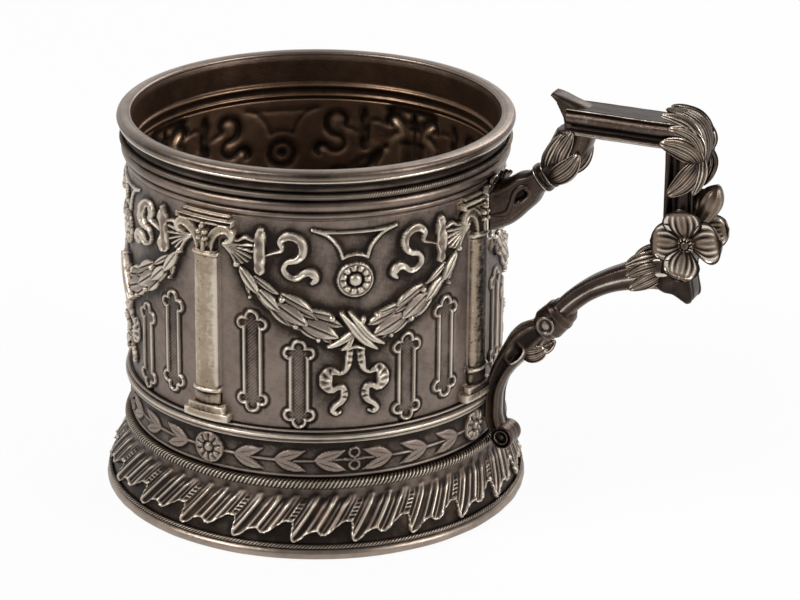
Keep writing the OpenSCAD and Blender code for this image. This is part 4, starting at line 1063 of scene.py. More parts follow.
# One side of the knot's boss, from its middle outwards and back to the handle, as (radius, distance out)
KNOT_BOSS = [(0.0, 3.5), (0.35, 3.48), (0.7, 3.42), (0.95, 3.3), (1.2, 3.36), (1.45, 3.55), (1.68, 3.6), (1.84, 3.5),
             (1.9, 3.3), (1.85, 2.9), (1.7, 2.0)]


def add_knot(skin):
    """Knot where the arm meets the leg: a swelling with four faint rims, and a rimmed, dished boss on each side."""
    rims = ((0.1, 0.08), (0.9, 0.08), (0.3, 0.05), (0.7, 0.05))

    def section(t, b, at):
        up, across = soft_box(b, 0.8)
        bulge = 1 + sum(high * line(t - place, 0.05) for place, high in rims)
        return up * bulge, across * bulge

    rows = [(53.8, 44.9, 2.1, 2.4), (52.7, 43.7, 2.9, 2.75), (51.5, 42.5, 3.2, 2.95), (50.2, 41.1, 3.2, 2.95),
            (49.2, 40.0, 2.7, 2.8), (48.4, 39.2, 1.8, 2.4)]
    skin.tube(swept(rows, section, 60, 48))
    r, y = smooth_run(KNOT_BOSS, 4)[1:].T[:, :, None]
    for side in (-1, 1):
        grid = around_place(angles(40), 50.4, 41.6, r, side * y)
        skin.tube(grid, np.broadcast_to(0.75 - 0.45 * line(r - 1.05, 0.2), grid.shape[:2]))


def add_leg(skin):
    """Leg from the knot to the scroll at the foot, with two ridges on its outer face and an almond dish near its
    top."""
    rows = [(50.0, 40.8, 1.9, 2.3), (48.9, 39.9, 1.85, 2.35), (47.6, 38.9, 2.3, 2.5), (46.2, 37.6, 2.75, 2.6),
            (44.5, 35.8, 2.7, 2.55), (42.8, 33.5, 2.3, 2.45), (41.2, 31.0, 1.95, 2.43), (40.0, 28.4, 1.7, 2.43),
            (39.2, 25.4, 1.5, 2.43), (39.0, 22.4, 1.45, 2.43), (39.1, 19.6, 1.45, 2.45), (39.9, 17.3, 1.4, 2.5)]

    def section(t, b, at):
        up, across = soft_box(b, 0.5)
        wide = np.abs(across)
        dent = 0.14 * line(across, 0.2) - 0.1 * line(wide - 0.5, 0.16) + 0.1 * line(wide - 0.85, 0.12)
        side = 1 + 0.1 * (line(up - 0.6, 0.2) + line(up + 0.6, 0.2)) * (wide > 0.4)
        return up * (1 + dent * (np.abs(up) > 0.5)), across * side

    skin.tube(dished(swept(rows, section, 150, 64, last=-1.15), 44.0, 34.3, 0.9, 2.0, 1.0, 0.6, 0.3))


# Half outline of the scroll, from its eye over its rolled rim to the middle of its width, as shares (radius, width)
SCROLL_OUTLINE = [(0.1, 0.86), (0.2, 0.84), (0.27, 0.7), (0.34, 0.62), (0.42, 0.66), (0.48, 0.84), (0.58, 0.98),
                  (0.66, 0.84), (0.72, 0.74), (0.8, 0.84), (0.88, 1.0), (0.96, 0.96), (1.0, 0.84), (1.0, 0.6),
                  (0.97, 0.3), (0.99, 0.0)]


def add_scroll(skin):
    """Rolled end at the foot: the strap's end wound up, with a bright rounded rim and a sunk eye on each side."""
    half = smooth_run(SCROLL_OUTLINE, 4)
    r, y = np.vstack([half, (half * [1, -1])[-2::-1]]).T[:, :, None]
    wear = 0.42 + 0.2 * ease((r - 0.75) / 0.1) + 0.4 * line(r - 0.58, 0.06) + 0.15 * (r < 0.25)
    grid = around_place(angles(72), 41.4, 15.95, r * 2.35, y * 2.6)
    skin.tube(grid, np.broadcast_to(wear, grid.shape[:2]))


def add_socket(skin):
    """Plate on the wall that the neck grows from, with rounded shoulders, a raised border and a hollow round the
    neck."""
    S, Z = np.meshgrid(np.linspace(-5.4, 5.4, 91), np.linspace(55.6, 69.6, 117), indexing="ij")
    x = np.abs(S)
    gap = np.minimum.reduce([
        np.maximum(x - 4.9, np.abs(Z - 63.2) - 4.6), np.hypot(S, Z - 66.6) - 3.4, np.hypot(x - 3.1, Z - 67.2) - 1.7,
        np.hypot(x - 3.1, Z - 58.8) - 1.9, np.hypot(S, Z - 58.4) - 2.4])
    h = 1.55 * ease(-gap / 0.7) + 0.45 * line(gap + 0.75, 0.3) - 0.35 * line(gap + 1.5, 0.35)
    h = h + 0.14 * np.cos(TURN * (x * 0.7 + (Z - 63) * 0.35) / 1.2) * ease(-(gap + 1.5) / 0.8)
    h = np.where(gap < 0.05, h, -0.35)
    back = round_wall(S[::3, ::4], Z[::3, ::4], -0.45, 0)
    skin.plate(round_wall(S, Z, h, 0), back, height_wear(h, (0.12, 0.12)), BACK_WEAR)


def add_socket_leaves(skin):
    """Small upright curled leaves on the socket's top, and the drop under it with its almond hollow."""
    for y, lean, tall in ((-3.6, -0.9, 3.0), (3.6, 0.9, 3.0), (-1.9, -0.5, 3.8), (1.9, 0.5, 3.8), (0, 0, 4.3)):
        path = [(38.3, y * 0.8, 66.2), (38.7, y, 67.6), (39.0, y + lean * 0.5, 66.4 + tall * 0.75),
                (39.3, y + lean, 66.4 + tall)]
        leaf_sheet(skin, path, 1, 1.1, 0.4, 0.5, 1, 0.4, count=(30, 24), depth_axis=(1.0, 0.0, 0.0))
    t = np.linspace(0, 1, 36)[:, None]
    b = angles(36)
    wide = 2.1 * np.sin(math.pi * np.clip(t, 0.03, 0.985) ** 0.8) ** 0.8
    dish = 0.75 * np.exp(-((wide * np.sin(b) / 0.75) ** 2) - ((t - 0.42) / 0.24) ** 2) * (np.cos(b) > 0)
    drop = np.broadcast_arrays(37.3 + wide * 0.55 * np.cos(b) - dish, wide * np.sin(b), 59.0 - 5.4 * t)
    skin.tube(np.stack(drop, -1), broad=0.9)


def add_spur(skin):
    """Thumb spur: a crest that rises from the bar's inner end and hooks towards the cup, hollow under its tip."""
    top = [(57.2, 84.4, 1.5, 2.5), (54.8, 84.9, 1.8, 2.45), (53.0, 85.8, 1.5, 2.35), (51.6, 86.8, 0.95, 2.2),
           (50.6, 87.4, 0.6, 2.1), (49.7, 87.8, 0.3, 1.9)]
    under = [(53.6, 80.4, 1.4, 2.4), (53.5, 82.2, 1.2, 2.4), (53.1, 83.8, 1.0, 2.35), (52.3, 85.2, 0.9, 2.25),
             (51.3, 86.6, 0.7, 2.1)]
    for rows, deep, steps, around in ((top, 0.1, 44, 40), (under, 0.05, 40, 36)):
        skin.tube(swept(rows, ridged([(0.6, 0.25, 1.0)], deep, 0.7), steps, around))


def side_leaves(skin, *leaves):
    """Leaves on both sides of the handle: each is its places in the handle's plane, half width, distance out, and
    grooves."""
    for side in (-1, 1):
        for places, wide, far, grooves in leaves:
            last = len(places) - 1
            out = [far - 0.5] + [far + 0.15] * (last - 1) + [far]
            rows = [(x, side * y, z) for (x, z), y in zip(places, out)]
            leaf_sheet(skin, rows, side, wide, 0.75, 0.9, grooves, 0.35)


def add_riser_leaves(skin):
    """Plump leaves that grow from the collar up the riser's sides, and one on its outer and inner faces."""
    side_leaves(skin, ([(49.3, 73.0), (50.0, 75.5), (51.3, 78.3), (53.0, 80.9)], 1.35, 2.75, 1),
                ([(51.4, 73.6), (52.4, 76.8), (53.6, 79.2), (54.9, 81.6)], 1.75, 3.0, 2),
                ([(50.0, 71.2), (52.0, 72.4), (54.3, 74.4), (56.3, 77.4)], 2.1, 3.0, 3))
    outer = [(51.0, 0, 71.2), (53.8, 0, 73.0), (56.0, 0, 75.8), (56.9, 0, 78.6)]
    leaf_sheet(skin, outer, 1, 2.2, 0.6, 0.8, 3, 0.3, depth_axis=(0.8, 0.0, -0.6))
    inner = [(47.9, 0, 72.9), (48.6, 0, 75.6), (50.2, 0, 78.6), (51.2, 0, 81.0)]
    leaf_sheet(skin, inner, 1, 2.2, 0.5, 0.7, 3, 0.2, depth_axis=(-0.9, 0.0, 0.4))


def add_corner_leaves(skin):
    """Acanthus on the outer corner: a spine leaf over the edge, with plump lobes that spread inwards on each side."""
    spine = [(78.9, 0, 75.2), (80.0, 0, 79.5), (80.1, 0, 83.0), (78.5, 0, 85.9), (75.6, 0, 87.3), (71.8, 0, 87.4)]
    leaf_sheet(skin, spine, 1, 2.7, 0.7, 0.9, 2, 0.1, 0.9, 0.5, (64, 32), (0.71, 0.0, 0.71))
    side_leaves(skin, ([(79.2, 81.2), (79.2, 83.6), (77.4, 85.9), (74.6, 86.9), (71.8, 87.3)], 1.45, 2.7, 1),
                ([(79.8, 79.6), (79.9, 82.0), (78.6, 84.0), (76.3, 84.9), (73.4, 85.0)], 1.4, 3.0, 2),
                ([(79.9, 78.4), (78.4, 80.6), (75.6, 81.6), (72.0, 82.0)], 2.3, 3.1, 3),
                ([(79.8, 79.4), (78.4, 76.8), (76.4, 74.2), (73.9, 72.0)], 2.1, 3.0, 3),
                ([(79.9, 80.6), (80.3, 77.8), (79.8, 75.2), (78.8, 72.6)], 1.2, 2.8, 1))


def add_bud(skin):
    """Bud on the upright's outer side: a pointed sheath of three overlapping lobes, and a small one at its foot."""
    def section(t, b, at):
        ribs = 1 + 0.1 * np.abs(np.cos(1.5 * b + 0.9 * t)) ** 0.6 + 0.03 * np.cos(12 * b)
        return np.cos(b) * ribs, np.sin(b) * ribs
    sheath = [(79.0, 66.0, 1.0, 1.4), (80.2, 68.3, 1.8, 1.9), (81.2, 70.5, 2.2, 2.25), (81.9, 72.3, 1.95, 2.05),
              (82.4, 73.6, 1.1, 1.3), (82.6, 74.3, 0.25, 0.35)]
    small = [(78.2, 67.6, 0.8, 1.3), (78.9, 69.8, 1.15, 1.7), (79.4, 71.6, 0.8, 1.3), (79.7, 73.0, 0.2, 0.4)]
    skin.tube(swept(sheath, section, 60, 60))
    skin.tube(swept(small, section, 32, 36))


# The flower's middle, as (x, z), and its petals, as (angle in degrees, length, half width)
FLOWER = (78.0, 62.9)
PETALS = [(14, 7.7, 4.3), (100, 7.3, 4.0), (180, 6.8, 4.0), (262, 7.3, 3.7)]


def add_petal(skin, side, degrees, reach, wide, size, lift):
    """One cupped petal. Its half width grows with the sine of the way along to its broadest place and closes as part
    of an ellipse; its ribs fan from the middle and its rim is raised."""
    turn, broadest = math.radians(degrees), 0.54
    u = 0.5 - 0.5 * np.cos(np.linspace(0, math.pi, 44))[:, None]
    e = np.sin(np.linspace(-1, 1, 42) * math.pi / 2)[None, :]
    growing = 0.16 + 0.84 * np.sin(np.minimum(u / broadest, 1) * math.pi / 2) ** 1.2
    half = wide * growing * np.sqrt(1 - 0.97 * (np.maximum(u - broadest, 0) / (1 - broadest)) ** 2)
    long = reach * (0.08 + 0.92 * u - 0.05 * e ** 2 * u ** 2)
    across = half * e
    rise = 0.35 + 0.5 * u + 0.7 * hump(u - 0.55, 0.5) * (1 - e ** 2) + 0.75 * np.abs(e) ** 3 * u
    rise = rise + 0.45 * ease((u - 0.72) / 0.28)
    rise = rise + 0.11 * np.cos(TURN * 3.5 * e) * hump(u - 0.3, 0.5)
    rise = rise + 0.34 * line(np.maximum(np.abs(e), u) - 0.92, 0.05)
    rise = rise - 0.35 * line(across, 0.16) * (1 - u) + lift
    a = long * math.cos(turn) - across * math.sin(turn)
    c = long * math.sin(turn) + across * math.cos(turn)
    front = np.stack([FLOWER[0] + a * size, side * (2.75 + rise), FLOWER[1] + c * size], -1)
    edge = (1 - np.abs(e) ** 8) * np.clip(np.minimum(u, 1 - u) / 0.04, 0, 1)
    back = front - side * 0.75 * edge[..., None] * [0, 1, 0]
    # Painted light and shade: lighter in the cupped middle, with painted shade near the base, along the sides and in a
    # ring inside the raised rim by the tip
    wear = leaf_wear(front, side, 0.35, 1.3, (3.0, 1.0)) + 0.16 * hump(u - 0.5, 0.3) * (1 - e ** 2)
    wear = wear - 0.3 * line(u - 0.12, 0.14) - 0.2 * np.abs(e) ** 4 - 0.16 * line(u - 0.84, 0.08)
    skin.sheet(front, back, wear)


def add_petals(skin):
    """Four petals on each side of the upright, smaller on the far side, round a boss ringed by stamens."""
    for side, size in ((-1, 1.0), (1, 0.78)):
        for k, petal in enumerate(PETALS):
            add_petal(skin, side, *petal, size, 0.12 * (k % 2))
        r = np.linspace(0.06, 1, 24)[:, None]
        b = angles(60)
        stamens = 0.25 * np.cos(11 * b) * band(r, 0.55, 0.9, 0.08)
        y = 3.0 + 1.5 * np.sqrt(np.clip(1 - r ** 2, 0, 1)) + stamens - 0.3 * line(r - 0.5, 0.06)
        skin.tube(around_place(b, *FLOWER, 1.7 * r, side * y))


# The lower corner seen from the side, as (x, z), and the place that it narrows towards
CORNER_OUTLINE = [(73.2, 60.4), (72.9, 56.8), (72.2, 53.4), (73.6, 52.3), (75.6, 52.1), (77.4, 51.2), (78.3, 50.8),
                  (79.2, 51.3), (79.4, 52.7), (79.0, 55.0), (78.8, 57.5), (78.8, 60.4), (76.4, 60.4)]
CORNER_MIDDLE = (76.0, 55.6)


def add_lower_corner(skin):
    """Lower corner: the upright's end steps out to a small point, with a hollow moulding on each side."""
    x, z = smooth_run(CORNER_OUTLINE + CORNER_OUTLINE[:1], 6)[:-1].T
    mx, mz = CORNER_MIDDLE
    y = np.linspace(-1, 1, 41)[:, None]
    inset = 1 - 0.1 * np.abs(y) ** 6 - 0.07 * line(np.abs(y) - 0.62, 0.12)
    inset = inset + 0.06 * ease((54.2 - z) / 2.6) * line(np.abs(y) - 0.84, 0.1)
    grid = np.stack(np.broadcast_arrays(mx + (x - mx) * inset, 2.95 * y, mz + (z - mz) * inset), -1)
    skin.tube(grid, point_wear(grid, (False, True), gain=(1.2, 0.4)) - 0.12)


def add_arm_leaves(skin):
    """Leaves that grow from the lower corner along the arm."""
    side_leaves(skin, ([(72.4, 59.4), (70.2, 58.6), (68.0, 57.6), (65.8, 56.3)], 1.4, 2.2, 1),
                ([(73.0, 57.6), (70.6, 56.8), (68.3, 55.6), (66.2, 54.2)], 1.5, 2.5, 2),
                ([(73.6, 56.2), (71.4, 54.9), (69.2, 53.4), (67.0, 51.9)], 1.7, 2.6, 3))


def add_leg_leaves(skin):
    """A leaf on each side of the leg, below the knot."""
    side_leaves(skin, ([(45.0, 34.2), (46.8, 34.6), (48.8, 35.4), (50.4, 36.6)], 1.9, 1.9, 3))


# ---------------------------------------------------------------- finishes

def shade(r, g, b):
    """A colour given as it shows on a screen, 0 to 255, as linear light."""
    def linear(v):
        v = v / 255
        return v / 12.92 if v <= 0.04045 else ((v + 0.055) / 1.055) ** 2.4
    return (linear(r), linear(g), linear(b), 1.0)


# Brown stains, the browner inside that faces the glass, and the tarnish of the cast handle
STAIN = shade(104, 80, 58)
BORE_DARK, BORE_MID, BORE_BRIGHT = shade(54, 41, 33), shade(130, 100, 77), shade(208, 182, 146)
CAST_DARK = shade(24, 17, 14)


def aged_silver(name, colours, warm=0.0, pits=0.5, polish=0.5, grain_size=1.0):
    """Old silver: dark tarnish in the hollows, mid grey brown on the ground and worn bright edges. The wear value,
    broken up by noise at four sizes, picks the colour, the metal's share and the roughness; fine pits and scratches
    bump it. What faces the glass is browner. Pitted metal has dark spots too."""
    dark, mid, bright = colours
    material = bpy.data.materials.new(name)
    net = Net(material)
    place = net.place()
    wear = net.node("ShaderNodeAttribute", {"attribute_name": "wear"}, out="Fac")
    bore = net.node("ShaderNodeAttribute", {"attribute_name": "bore"}, out="Fac")
    broad = net.noise(place, 0.09, 3.0)
    cloud = net.noise(place, 0.55 / grain_size, 5.0, 0.62)
    fine = net.noise(place, 2.6 / grain_size, 4.0, 0.6)
    dust = net.noise(place, 7.5 / grain_size, 2.0, 0.6)
    tone = wear + (cloud - 0.5) * 0.2 + (fine - 0.5) * 0.09 + (dust - 0.5) * 0.05 + (broad - 0.5) * 0.34
    spots = net.noise(place, 1.4, 3.0, 0.6).climb(0.6, 0.72) * (0.55 * max(pits - 0.5, 0) / 0.4)
    body = (tone - spots).climb(0.2, 0.6)
    speck = (net.noise(place, 4.2, 3.0, 0.7) + wear * 0.25).climb(0.76, 0.86) * 0.45
    light = (tone.climb(0.66, 1.04) + speck).clip()

    colour = net.mix(light, net.mix(body, dark, mid), bright)
    stained = net.noise(place, 0.22, 2.0).climb(0.5, 0.75) * (0.22 + warm)
    colour = net.mix(stained, colour, STAIN)
    inner = net.mix(light, net.mix(body, BORE_DARK, BORE_MID), BORE_BRIGHT)
    colour = net.mix(bore * 0.9, colour, inner)
    metal = 0.8 + body * 0.16
    rough = 0.36 - light * 0.1 + (cloud - 0.5) * 0.2 + (1 - polish) * 0.16

    pit = net.node("ShaderNodeTexVoronoi", {}, place, Scale=2.2 / grain_size, out="Distance")
    scratch = net.node("ShaderNodeVectorMath", {"operation": "MULTIPLY"}, place, (1.0, 1.0, 9.0))
    height = fine * 0.5 + dust * 0.3 + pit.climb(0.02, 0.3) * (0.5 * pits) + net.noise(scratch, 0.8, 2.0) * 0.35
    bump = net.node("ShaderNodeBump", {}, Strength=0.32, Distance=0.22 * MM, Height=height)
    shader = net.node("ShaderNodeBsdfPrincipled", {}, Base_Color=colour, Metallic=metal, Roughness=rough,
                      Normal=bump)
    net.node("ShaderNodeOutputMaterial", {}, shader)
    return material


def make_finishes():
    """All the finishes: the dark, ground and edge colours, then the warmth, pits, polish and grain size."""
    s = bpy.context.scene.holder_finish
    dark, mid, bright = ((*getattr(s, key), 1.0) for key in ("tarnish", "ground", "edge"))
    aged_silver("aged_wall", (dark, mid, bright))
    aged_silver("aged_column", (dark, shade(168, 150, 130), bright), 0.1, 0.9)
    aged_silver("aged_lip", (dark, shade(148, 131, 119), bright), 0.0, 0.2, 1.2, 2.0)
    aged_silver("aged_rope", (shade(26, 20, 17), shade(120, 106, 94), bright), 0.0, 0.3)
    aged_silver("aged_base", (dark, shade(168, 152, 139), bright), 0.0, 0.2, 1.2, 2.0)
    aged_silver("aged_foot", (dark, shade(128, 113, 103), bright), 0.05, 0.4)
    aged_silver("aged_floor", (shade(28, 19, 14), shade(60, 44, 33), shade(110, 86, 64)), 0.3, 0.6, 0.2, 2.0)
    aged_silver("aged_handle", (CAST_DARK, shade(80, 66, 58), shade(224, 214, 202)), 0.0, 0.25, 1.3, 1.6)
    aged_silver("aged_leaf", (CAST_DARK, shade(122, 106, 93), shade(232, 220, 204)), 0.0, 0.2, 1.3, 1.6)


def finish_of(key):
    """A finish by its short name. The first call makes them all."""
    name = "aged_" + key
    if name not in bpy.data.materials:
        make_finishes()
    return bpy.data.materials[name]


def make_piece(name, finish, slot, build, *nodes):
    """One piece: its function fills a skin, which is written with its finish and stands for its CAD nodes."""
    skin = Skin()
    build(skin)
    skin.write(name, finish_of(finish), slot, *nodes)


# ---------------------------------------------------------------- settings

def wire_radius(name, description, default, low, high):
    """A wire's radius, given in millimetres."""
    return FloatProperty(name=name, description=description, default=default * MM, min=low * MM, max=high * MM,
                         unit="LENGTH")


def colour_choice(name, description, *default):
    """A colour, given as it shows on a screen."""
    return FloatVectorProperty(name=name, description=description, subtype="COLOR", size=3,
                               default=shade(*default)[:3], min=0, max=1)


class HolderSizes(bpy.types.PropertyGroup):
    """Radii of the three twisted wires"""
    wire: wire_radius("Rope wire", "Radius of the twisted wire under the lip", 0.62, 0.3, 0.8)
    lower_wire: wire_radius("Lower rope", "Radius of the twisted wire over the foot", 1.0, 0.7, 1.3)
    foot_wire: wire_radius("Foot wire", "Radius of the fine twisted wire on the foot", 0.46, 0.3, 0.6)


class HolderFinish(bpy.types.PropertyGroup):
    """Colours of the old silver and the power of the main lamp"""
    tarnish: colour_choice("Tarnish", "Colour in the hollows", 34, 26, 21)
    ground: colour_choice("Ground", "Colour of the plain ground", 142, 127, 117)
    edge: colour_choice("Worn edge", "Colour of the worn edges", 214, 203, 186)
    key: FloatProperty(name="Main lamp", description="Power of the main lamp", default=8.0, min=0, max=100,
                       unit="POWER")


# ---------------------------------------------------------------- steps

class HOLDER_OT_panels(bpy.types.Operator):
    """Build the four relief quarters of the wall"""
    bl_idname = "holder.panels"
    bl_label = "Relief panels"
    bl_options = {"REGISTER", "UNDO"}

    def execute(self, context):
        f, col = panel_relief(), column_relief()
        for k, turn in enumerate(QUARTERS, 1):
            nodes = [f"{name}_{k}" for name in ("garland", "ribbons", "crest", "lancets")]
            make_piece(f"panel_{k}", "wall", "relief_silver",
                       lambda skin: add_panel(skin, f, col, turn + 45), "wall_shell", *nodes)
        return {"FINISHED"}


class HOLDER_OT_columns(bpy.types.Operator):
    """Build the four columns with their capitals. The one beside the handle is darker: painted shade of the handle"""
    bl_idname = "holder.columns"
    bl_label = "Columns"
    bl_options = {"REGISTER", "UNDO"}

    def execute(self, context):
        col = column_relief()
        # Column 1, beside the handle, loses 0.4 of its wear: painted shadow and dark reflection of the handle
        for k, (turn, handle_shade) in enumerate(zip(QUARTERS, (0.4, 0.0, 0.0, 0.0)), 1):
            make_piece(f"pillar_{k}", "column", "column_silver",
                       lambda skin: add_column(skin, col, turn, handle_shade), f"column_{k}", f"capital_{k}")
        return {"FINISHED"}


class HOLDER_OT_frieze(bpy.types.Operator):
    """Build the laurel frieze and the ledge over it"""
    bl_idname = "holder.frieze"
    bl_label = "Frieze"
    bl_options = {"REGISTER", "UNDO"}

    def execute(self, context):
        laurels = (f"laurel_{k}" for k in range(1, 5))
        make_piece("frieze", "wall", "relief_silver", add_frieze, "ledge_moulding", *laurels)
        return {"FINISHED"}


class HOLDER_OT_lip(bpy.types.Operator):
    """Build the neck mouldings and the rolled lip"""
    bl_idname = "holder.lip"
    bl_label = "Neck and lip"
    bl_options = {"REGISTER", "UNDO"}

    def execute(self, context):
        make_piece("lip", "lip", "lip_silver", add_lip, "mouth_rim", "neck_moulding")
        return {"FINISHED"}


class HOLDER_OT_ropes(bpy.types.Operator):
    """Twist the three wires"""
    bl_idname = "holder.ropes"
    bl_label = "Rope wires"
    bl_options = {"REGISTER", "UNDO"}

    def execute(self, context):
        s = context.scene.holder_sizes
        # Each wire's ring radius, height, radius and strands, and its points along and around
        wires = (("rope_upper", "upper_rope_wire", (37.92, 72.65, s.wire / MM, 459, 3200, 10)),
                 ("rope_lower", "lower_rope_wire", (37.6, 14.05, s.lower_wire / MM, 290, 2320, 16)),
                 ("rope_foot", "foot_bead_wire", (41.65, 2.75, s.foot_wire / MM, 363, 2541, 12)))
        for name, node, size in wires:
            make_piece(name, "rope", "rope_silver", lambda skin: rope(skin, *size), node)
        return {"FINISHED"}


class HOLDER_OT_foot(bpy.types.Operator):
    """Build the flared foot with its pleated collar, and the ring under it"""
    bl_idname = "holder.foot"
    bl_label = "Foot"
    bl_options = {"REGISTER", "UNDO"}

    def execute(self, context):
        make_piece("foot_skirt", "foot", "foot_silver", add_foot, "foot_flare", "foot_ruffle")
        make_piece("foot_base", "base", "lip_silver", add_foot_ring, "foot_ring")
        return {"FINISHED"}


# The handle's pieces: name, finish, function and the CAD nodes that each stands for
HANDLE_PARTS = (
    ("socket_plate", "handle", add_socket, "handle_socket"),
    ("socket_crown", "leaf", add_socket_leaves, "socket_drop"),
    ("neck", "handle", add_neck, "handle_neck"),
    ("collar", "handle", add_collar, "neck_collar"),
    ("stem", "handle", add_riser, "riser"),
    ("stem_leaves", "leaf", add_riser_leaves, "riser_leaves"),
    ("spur", "handle", add_spur, "thumb_spur"),
    ("bar", "handle", add_bar, "top_bar", "upright"),
    ("corner_acanthus", "leaf", add_corner_leaves, "corner_leaves"),
    ("flower_bud", "leaf", add_bud, "bud"),
    ("flower", "leaf", add_petals, "flower_petals", "flower_bosses"),
    ("corner_low", "handle", add_lower_corner, "lower_corner"),
    ("arm", "handle", add_arm, "lower_arm"),
    ("arm_acanthus", "leaf", add_arm_leaves, "arm_leaves"),
    ("knot", "handle", add_knot, "knot_collar"),
    ("leg", "handle", add_leg, "lower_leg"),
    ("leg_acanthus", "leaf", add_leg_leaves, "leg_leaves"),
    ("scroll", "handle", add_scroll, "foot_scroll"))


class HOLDER_OT_handle(bpy.types.Operator):
    """Build the handle's cast parts"""
    bl_idname = "holder.handle"
    bl_label = "Handle"
    bl_options = {"REGISTER", "UNDO"}

    def execute(self, context):
        for name, finish, build, *nodes in HANDLE_PARTS:
            make_piece(name, finish, finish + "_silver", build, *nodes)
        return {"FINISHED"}


class HOLDER_OT_inner_floor(bpy.types.Operator):
    """Finish the plate inside the body"""
    bl_idname = "holder.inner_floor"
    bl_label = "Floor plate"
    bl_options = {"REGISTER", "UNDO"}

    def execute(self, context):
        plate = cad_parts["floor_plate"]
        plate.data.materials.clear()
        plate.data.materials.append(finish_of("floor"))
        return {"FINISHED"}


# ---------------------------------------------------------------- stage

# The lamps, as name, place in metres, width, and share of the main lamp's power; they look at the holder's middle
LAMPS = (("lamp_left", (-0.55, -0.75, 0.85), 0.6, 1.0),
         ("lamp_right", (0.9, -0.05, 0.5), 0.5, 0.55),
         ("lamp_back", (0.1, 0.9, 0.7), 0.6, 0.4))
LAMP_AIM = (0, 0, 0.04)
WHITE = (1, 1, 1, 1)
# The camera's place in metres, how far it looks down and is turned round, in degrees, its lens and its shift
CAMERA_PLACE = (0.2567, -0.5358, 0.2743)
CAMERA_DOWN, CAMERA_ROUND = 21.52, 25.6
CAMERA_LENS, CAMERA_SHIFT = 144.0, (0.105, -0.017)
FLOOR_HALF = 3


def put(scene, name, data):
    """An object with its data, in the scene."""
    made = bpy.data.objects.new(name, data)
    scene.collection.objects.link(made)
    return made


def make_floor(scene):
    """Pale floor that shows almost white to the camera and to the silver, and keeps the holder's shadow."""
    material = bpy.data.materials.new("studio_floor")
    net = Net(material)
    camera, glossy, through = (
        net.node("ShaderNodeLightPath", {}, out=f"Is {ray} Ray") for ray in ("Camera", "Glossy", "Transmission"))
    plain = net.node("ShaderNodeBsdfDiffuse", {}, (0.9, 0.9, 0.9, 1))
    glow = net.node("ShaderNodeEmission", {}, WHITE, 1.0)
    share = (camera * 0.935 + glossy * 0.6 + through).clip()
    net.node("ShaderNodeOutputMaterial", {}, net.node("ShaderNodeMixShader", {}, share, plain, glow))
    mesh = bpy.data.meshes.new("studio_floor")
    h = FLOOR_HALF
    mesh.from_pydata([(-h, -h, 0), (h, -h, 0), (h, h, 0), (-h, h, 0)], [], [(0, 1, 2, 3)])
    mesh.materials.append(material)
    put(scene, "studio_floor", mesh)


def make_world(scene):
    """Pale dome, white to the camera. Its light falls off overhead and towards the photographer's side."""
    scene.world = bpy.data.worlds.new("studio")
    net = Net(scene.world)
    camera = net.node("ShaderNodeLightPath", {}, out="Is Camera Ray")
    way = net.node("ShaderNodeTexCoord", {}, out="Generated")
    height = net.node("ShaderNodeSeparateXYZ", {}, way, out="Z")
    ahead = net.node("ShaderNodeVectorMath", {"operation": "DOT_PRODUCT"}, way, (0.43, -0.9, 0.0), out="Value")
    across = net.node("ShaderNodeMapRange", {}, ahead, -0.5, 0.75, 1.0, 0.38)
    level = net.node("ShaderNodeMapRange", {}, height, 0.0, 0.75, 0.95, 0.32) * across
    dome = net.node("ShaderNodeBackground", {}, WHITE, level)
    white = net.node("ShaderNodeBackground", {}, WHITE, 1.0)
    net.node("ShaderNodeOutputWorld", {}, net.node("ShaderNodeMixShader", {}, camera, dome, white))


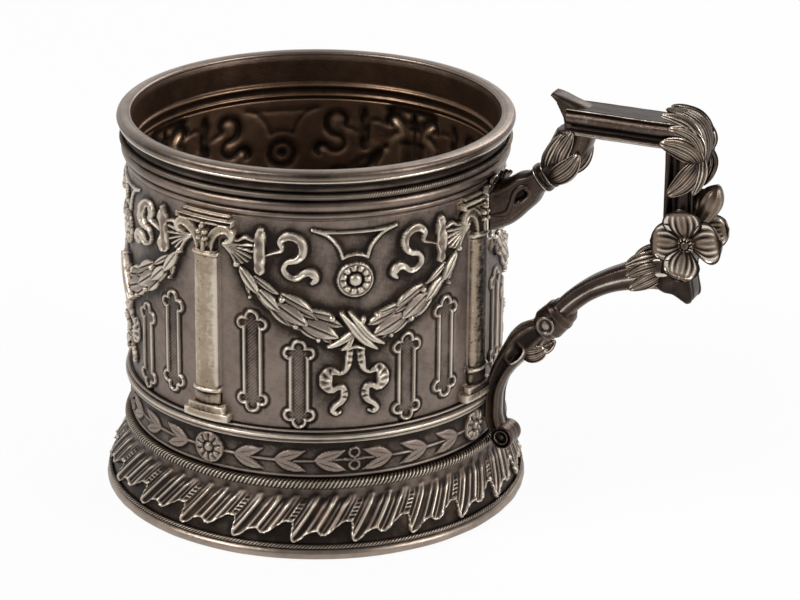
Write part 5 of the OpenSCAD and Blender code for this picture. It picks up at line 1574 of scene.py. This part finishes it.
class HOLDER_OT_stage(bpy.types.Operator):
    """Make the floor, the lamps and the camera"""
    bl_idname = "holder.stage"
    bl_label = "Stage"
    bl_options = {"REGISTER", "UNDO"}

    def execute(self, context):
        scene = context.scene
        make_floor(scene)
        make_world(scene)
        for name, place, width, share in LAMPS:
            lamp = bpy.data.lights.new(name, "AREA")
            lamp.shape, lamp.size, lamp.energy = "DISK", width, scene.holder_finish.key * share
            stand = put(scene, name, lamp)
            stand.location = place
            stand.rotation_euler = (Vector(LAMP_AIM) - Vector(place)).to_track_quat("-Z", "Y").to_euler()
        camera = bpy.data.cameras.new("camera")
        camera.sensor_width, camera.lens = 36.0, CAMERA_LENS
        camera.shift_x, camera.shift_y = CAMERA_SHIFT
        camera.clip_start, camera.clip_end = 0.05, 20.0
        eye = put(scene, "camera", camera)
        eye.location = CAMERA_PLACE
        eye.rotation_euler = (math.radians(90 - CAMERA_DOWN), 0, math.radians(CAMERA_ROUND))
        scene.camera = eye
        scene.view_settings.view_transform = "Standard"
        return {"FINISHED"}


# The steps in the order that they run
STEPS = (HOLDER_OT_panels, HOLDER_OT_columns, HOLDER_OT_frieze, HOLDER_OT_lip, HOLDER_OT_ropes, HOLDER_OT_foot,
         HOLDER_OT_handle, HOLDER_OT_inner_floor, HOLDER_OT_stage)


class HOLDER_PT_panel(bpy.types.Panel):
    """Steps and settings of the tea glass holder"""
    bl_idname = "HOLDER_PT_panel"
    bl_label = "Tea Glass Holder"
    bl_space_type = "VIEW_3D"
    bl_region_type = "UI"
    bl_category = "Holder"

    def draw(self, context):
        box = self.layout.box()
        for group in (context.scene.holder_sizes, context.scene.holder_finish):
            for key in group.__annotations__:
                box.prop(group, key)
        for operator in STEPS:
            self.layout.operator(operator.bl_idname)


CLASSES = (HolderSizes, HolderFinish, *STEPS, HOLDER_PT_panel)


def register():
    """Puts the classes and the two groups of settings into Blender."""
    for one in CLASSES:
        bpy.utils.register_class(one)
    bpy.types.Scene.holder_sizes = PointerProperty(type=HolderSizes)
    bpy.types.Scene.holder_finish = PointerProperty(type=HolderFinish)


def unregister():
    """Takes them out again."""
    del bpy.types.Scene.holder_finish, bpy.types.Scene.holder_sizes
    for one in reversed(CLASSES):
        bpy.utils.unregister_class(one)


def main():
    """Runs every step in order."""
    register()
    for operator in STEPS:
        getattr(bpy.ops.holder, operator.bl_idname.split(".")[1])()


if __name__ == "__main__":
    main()
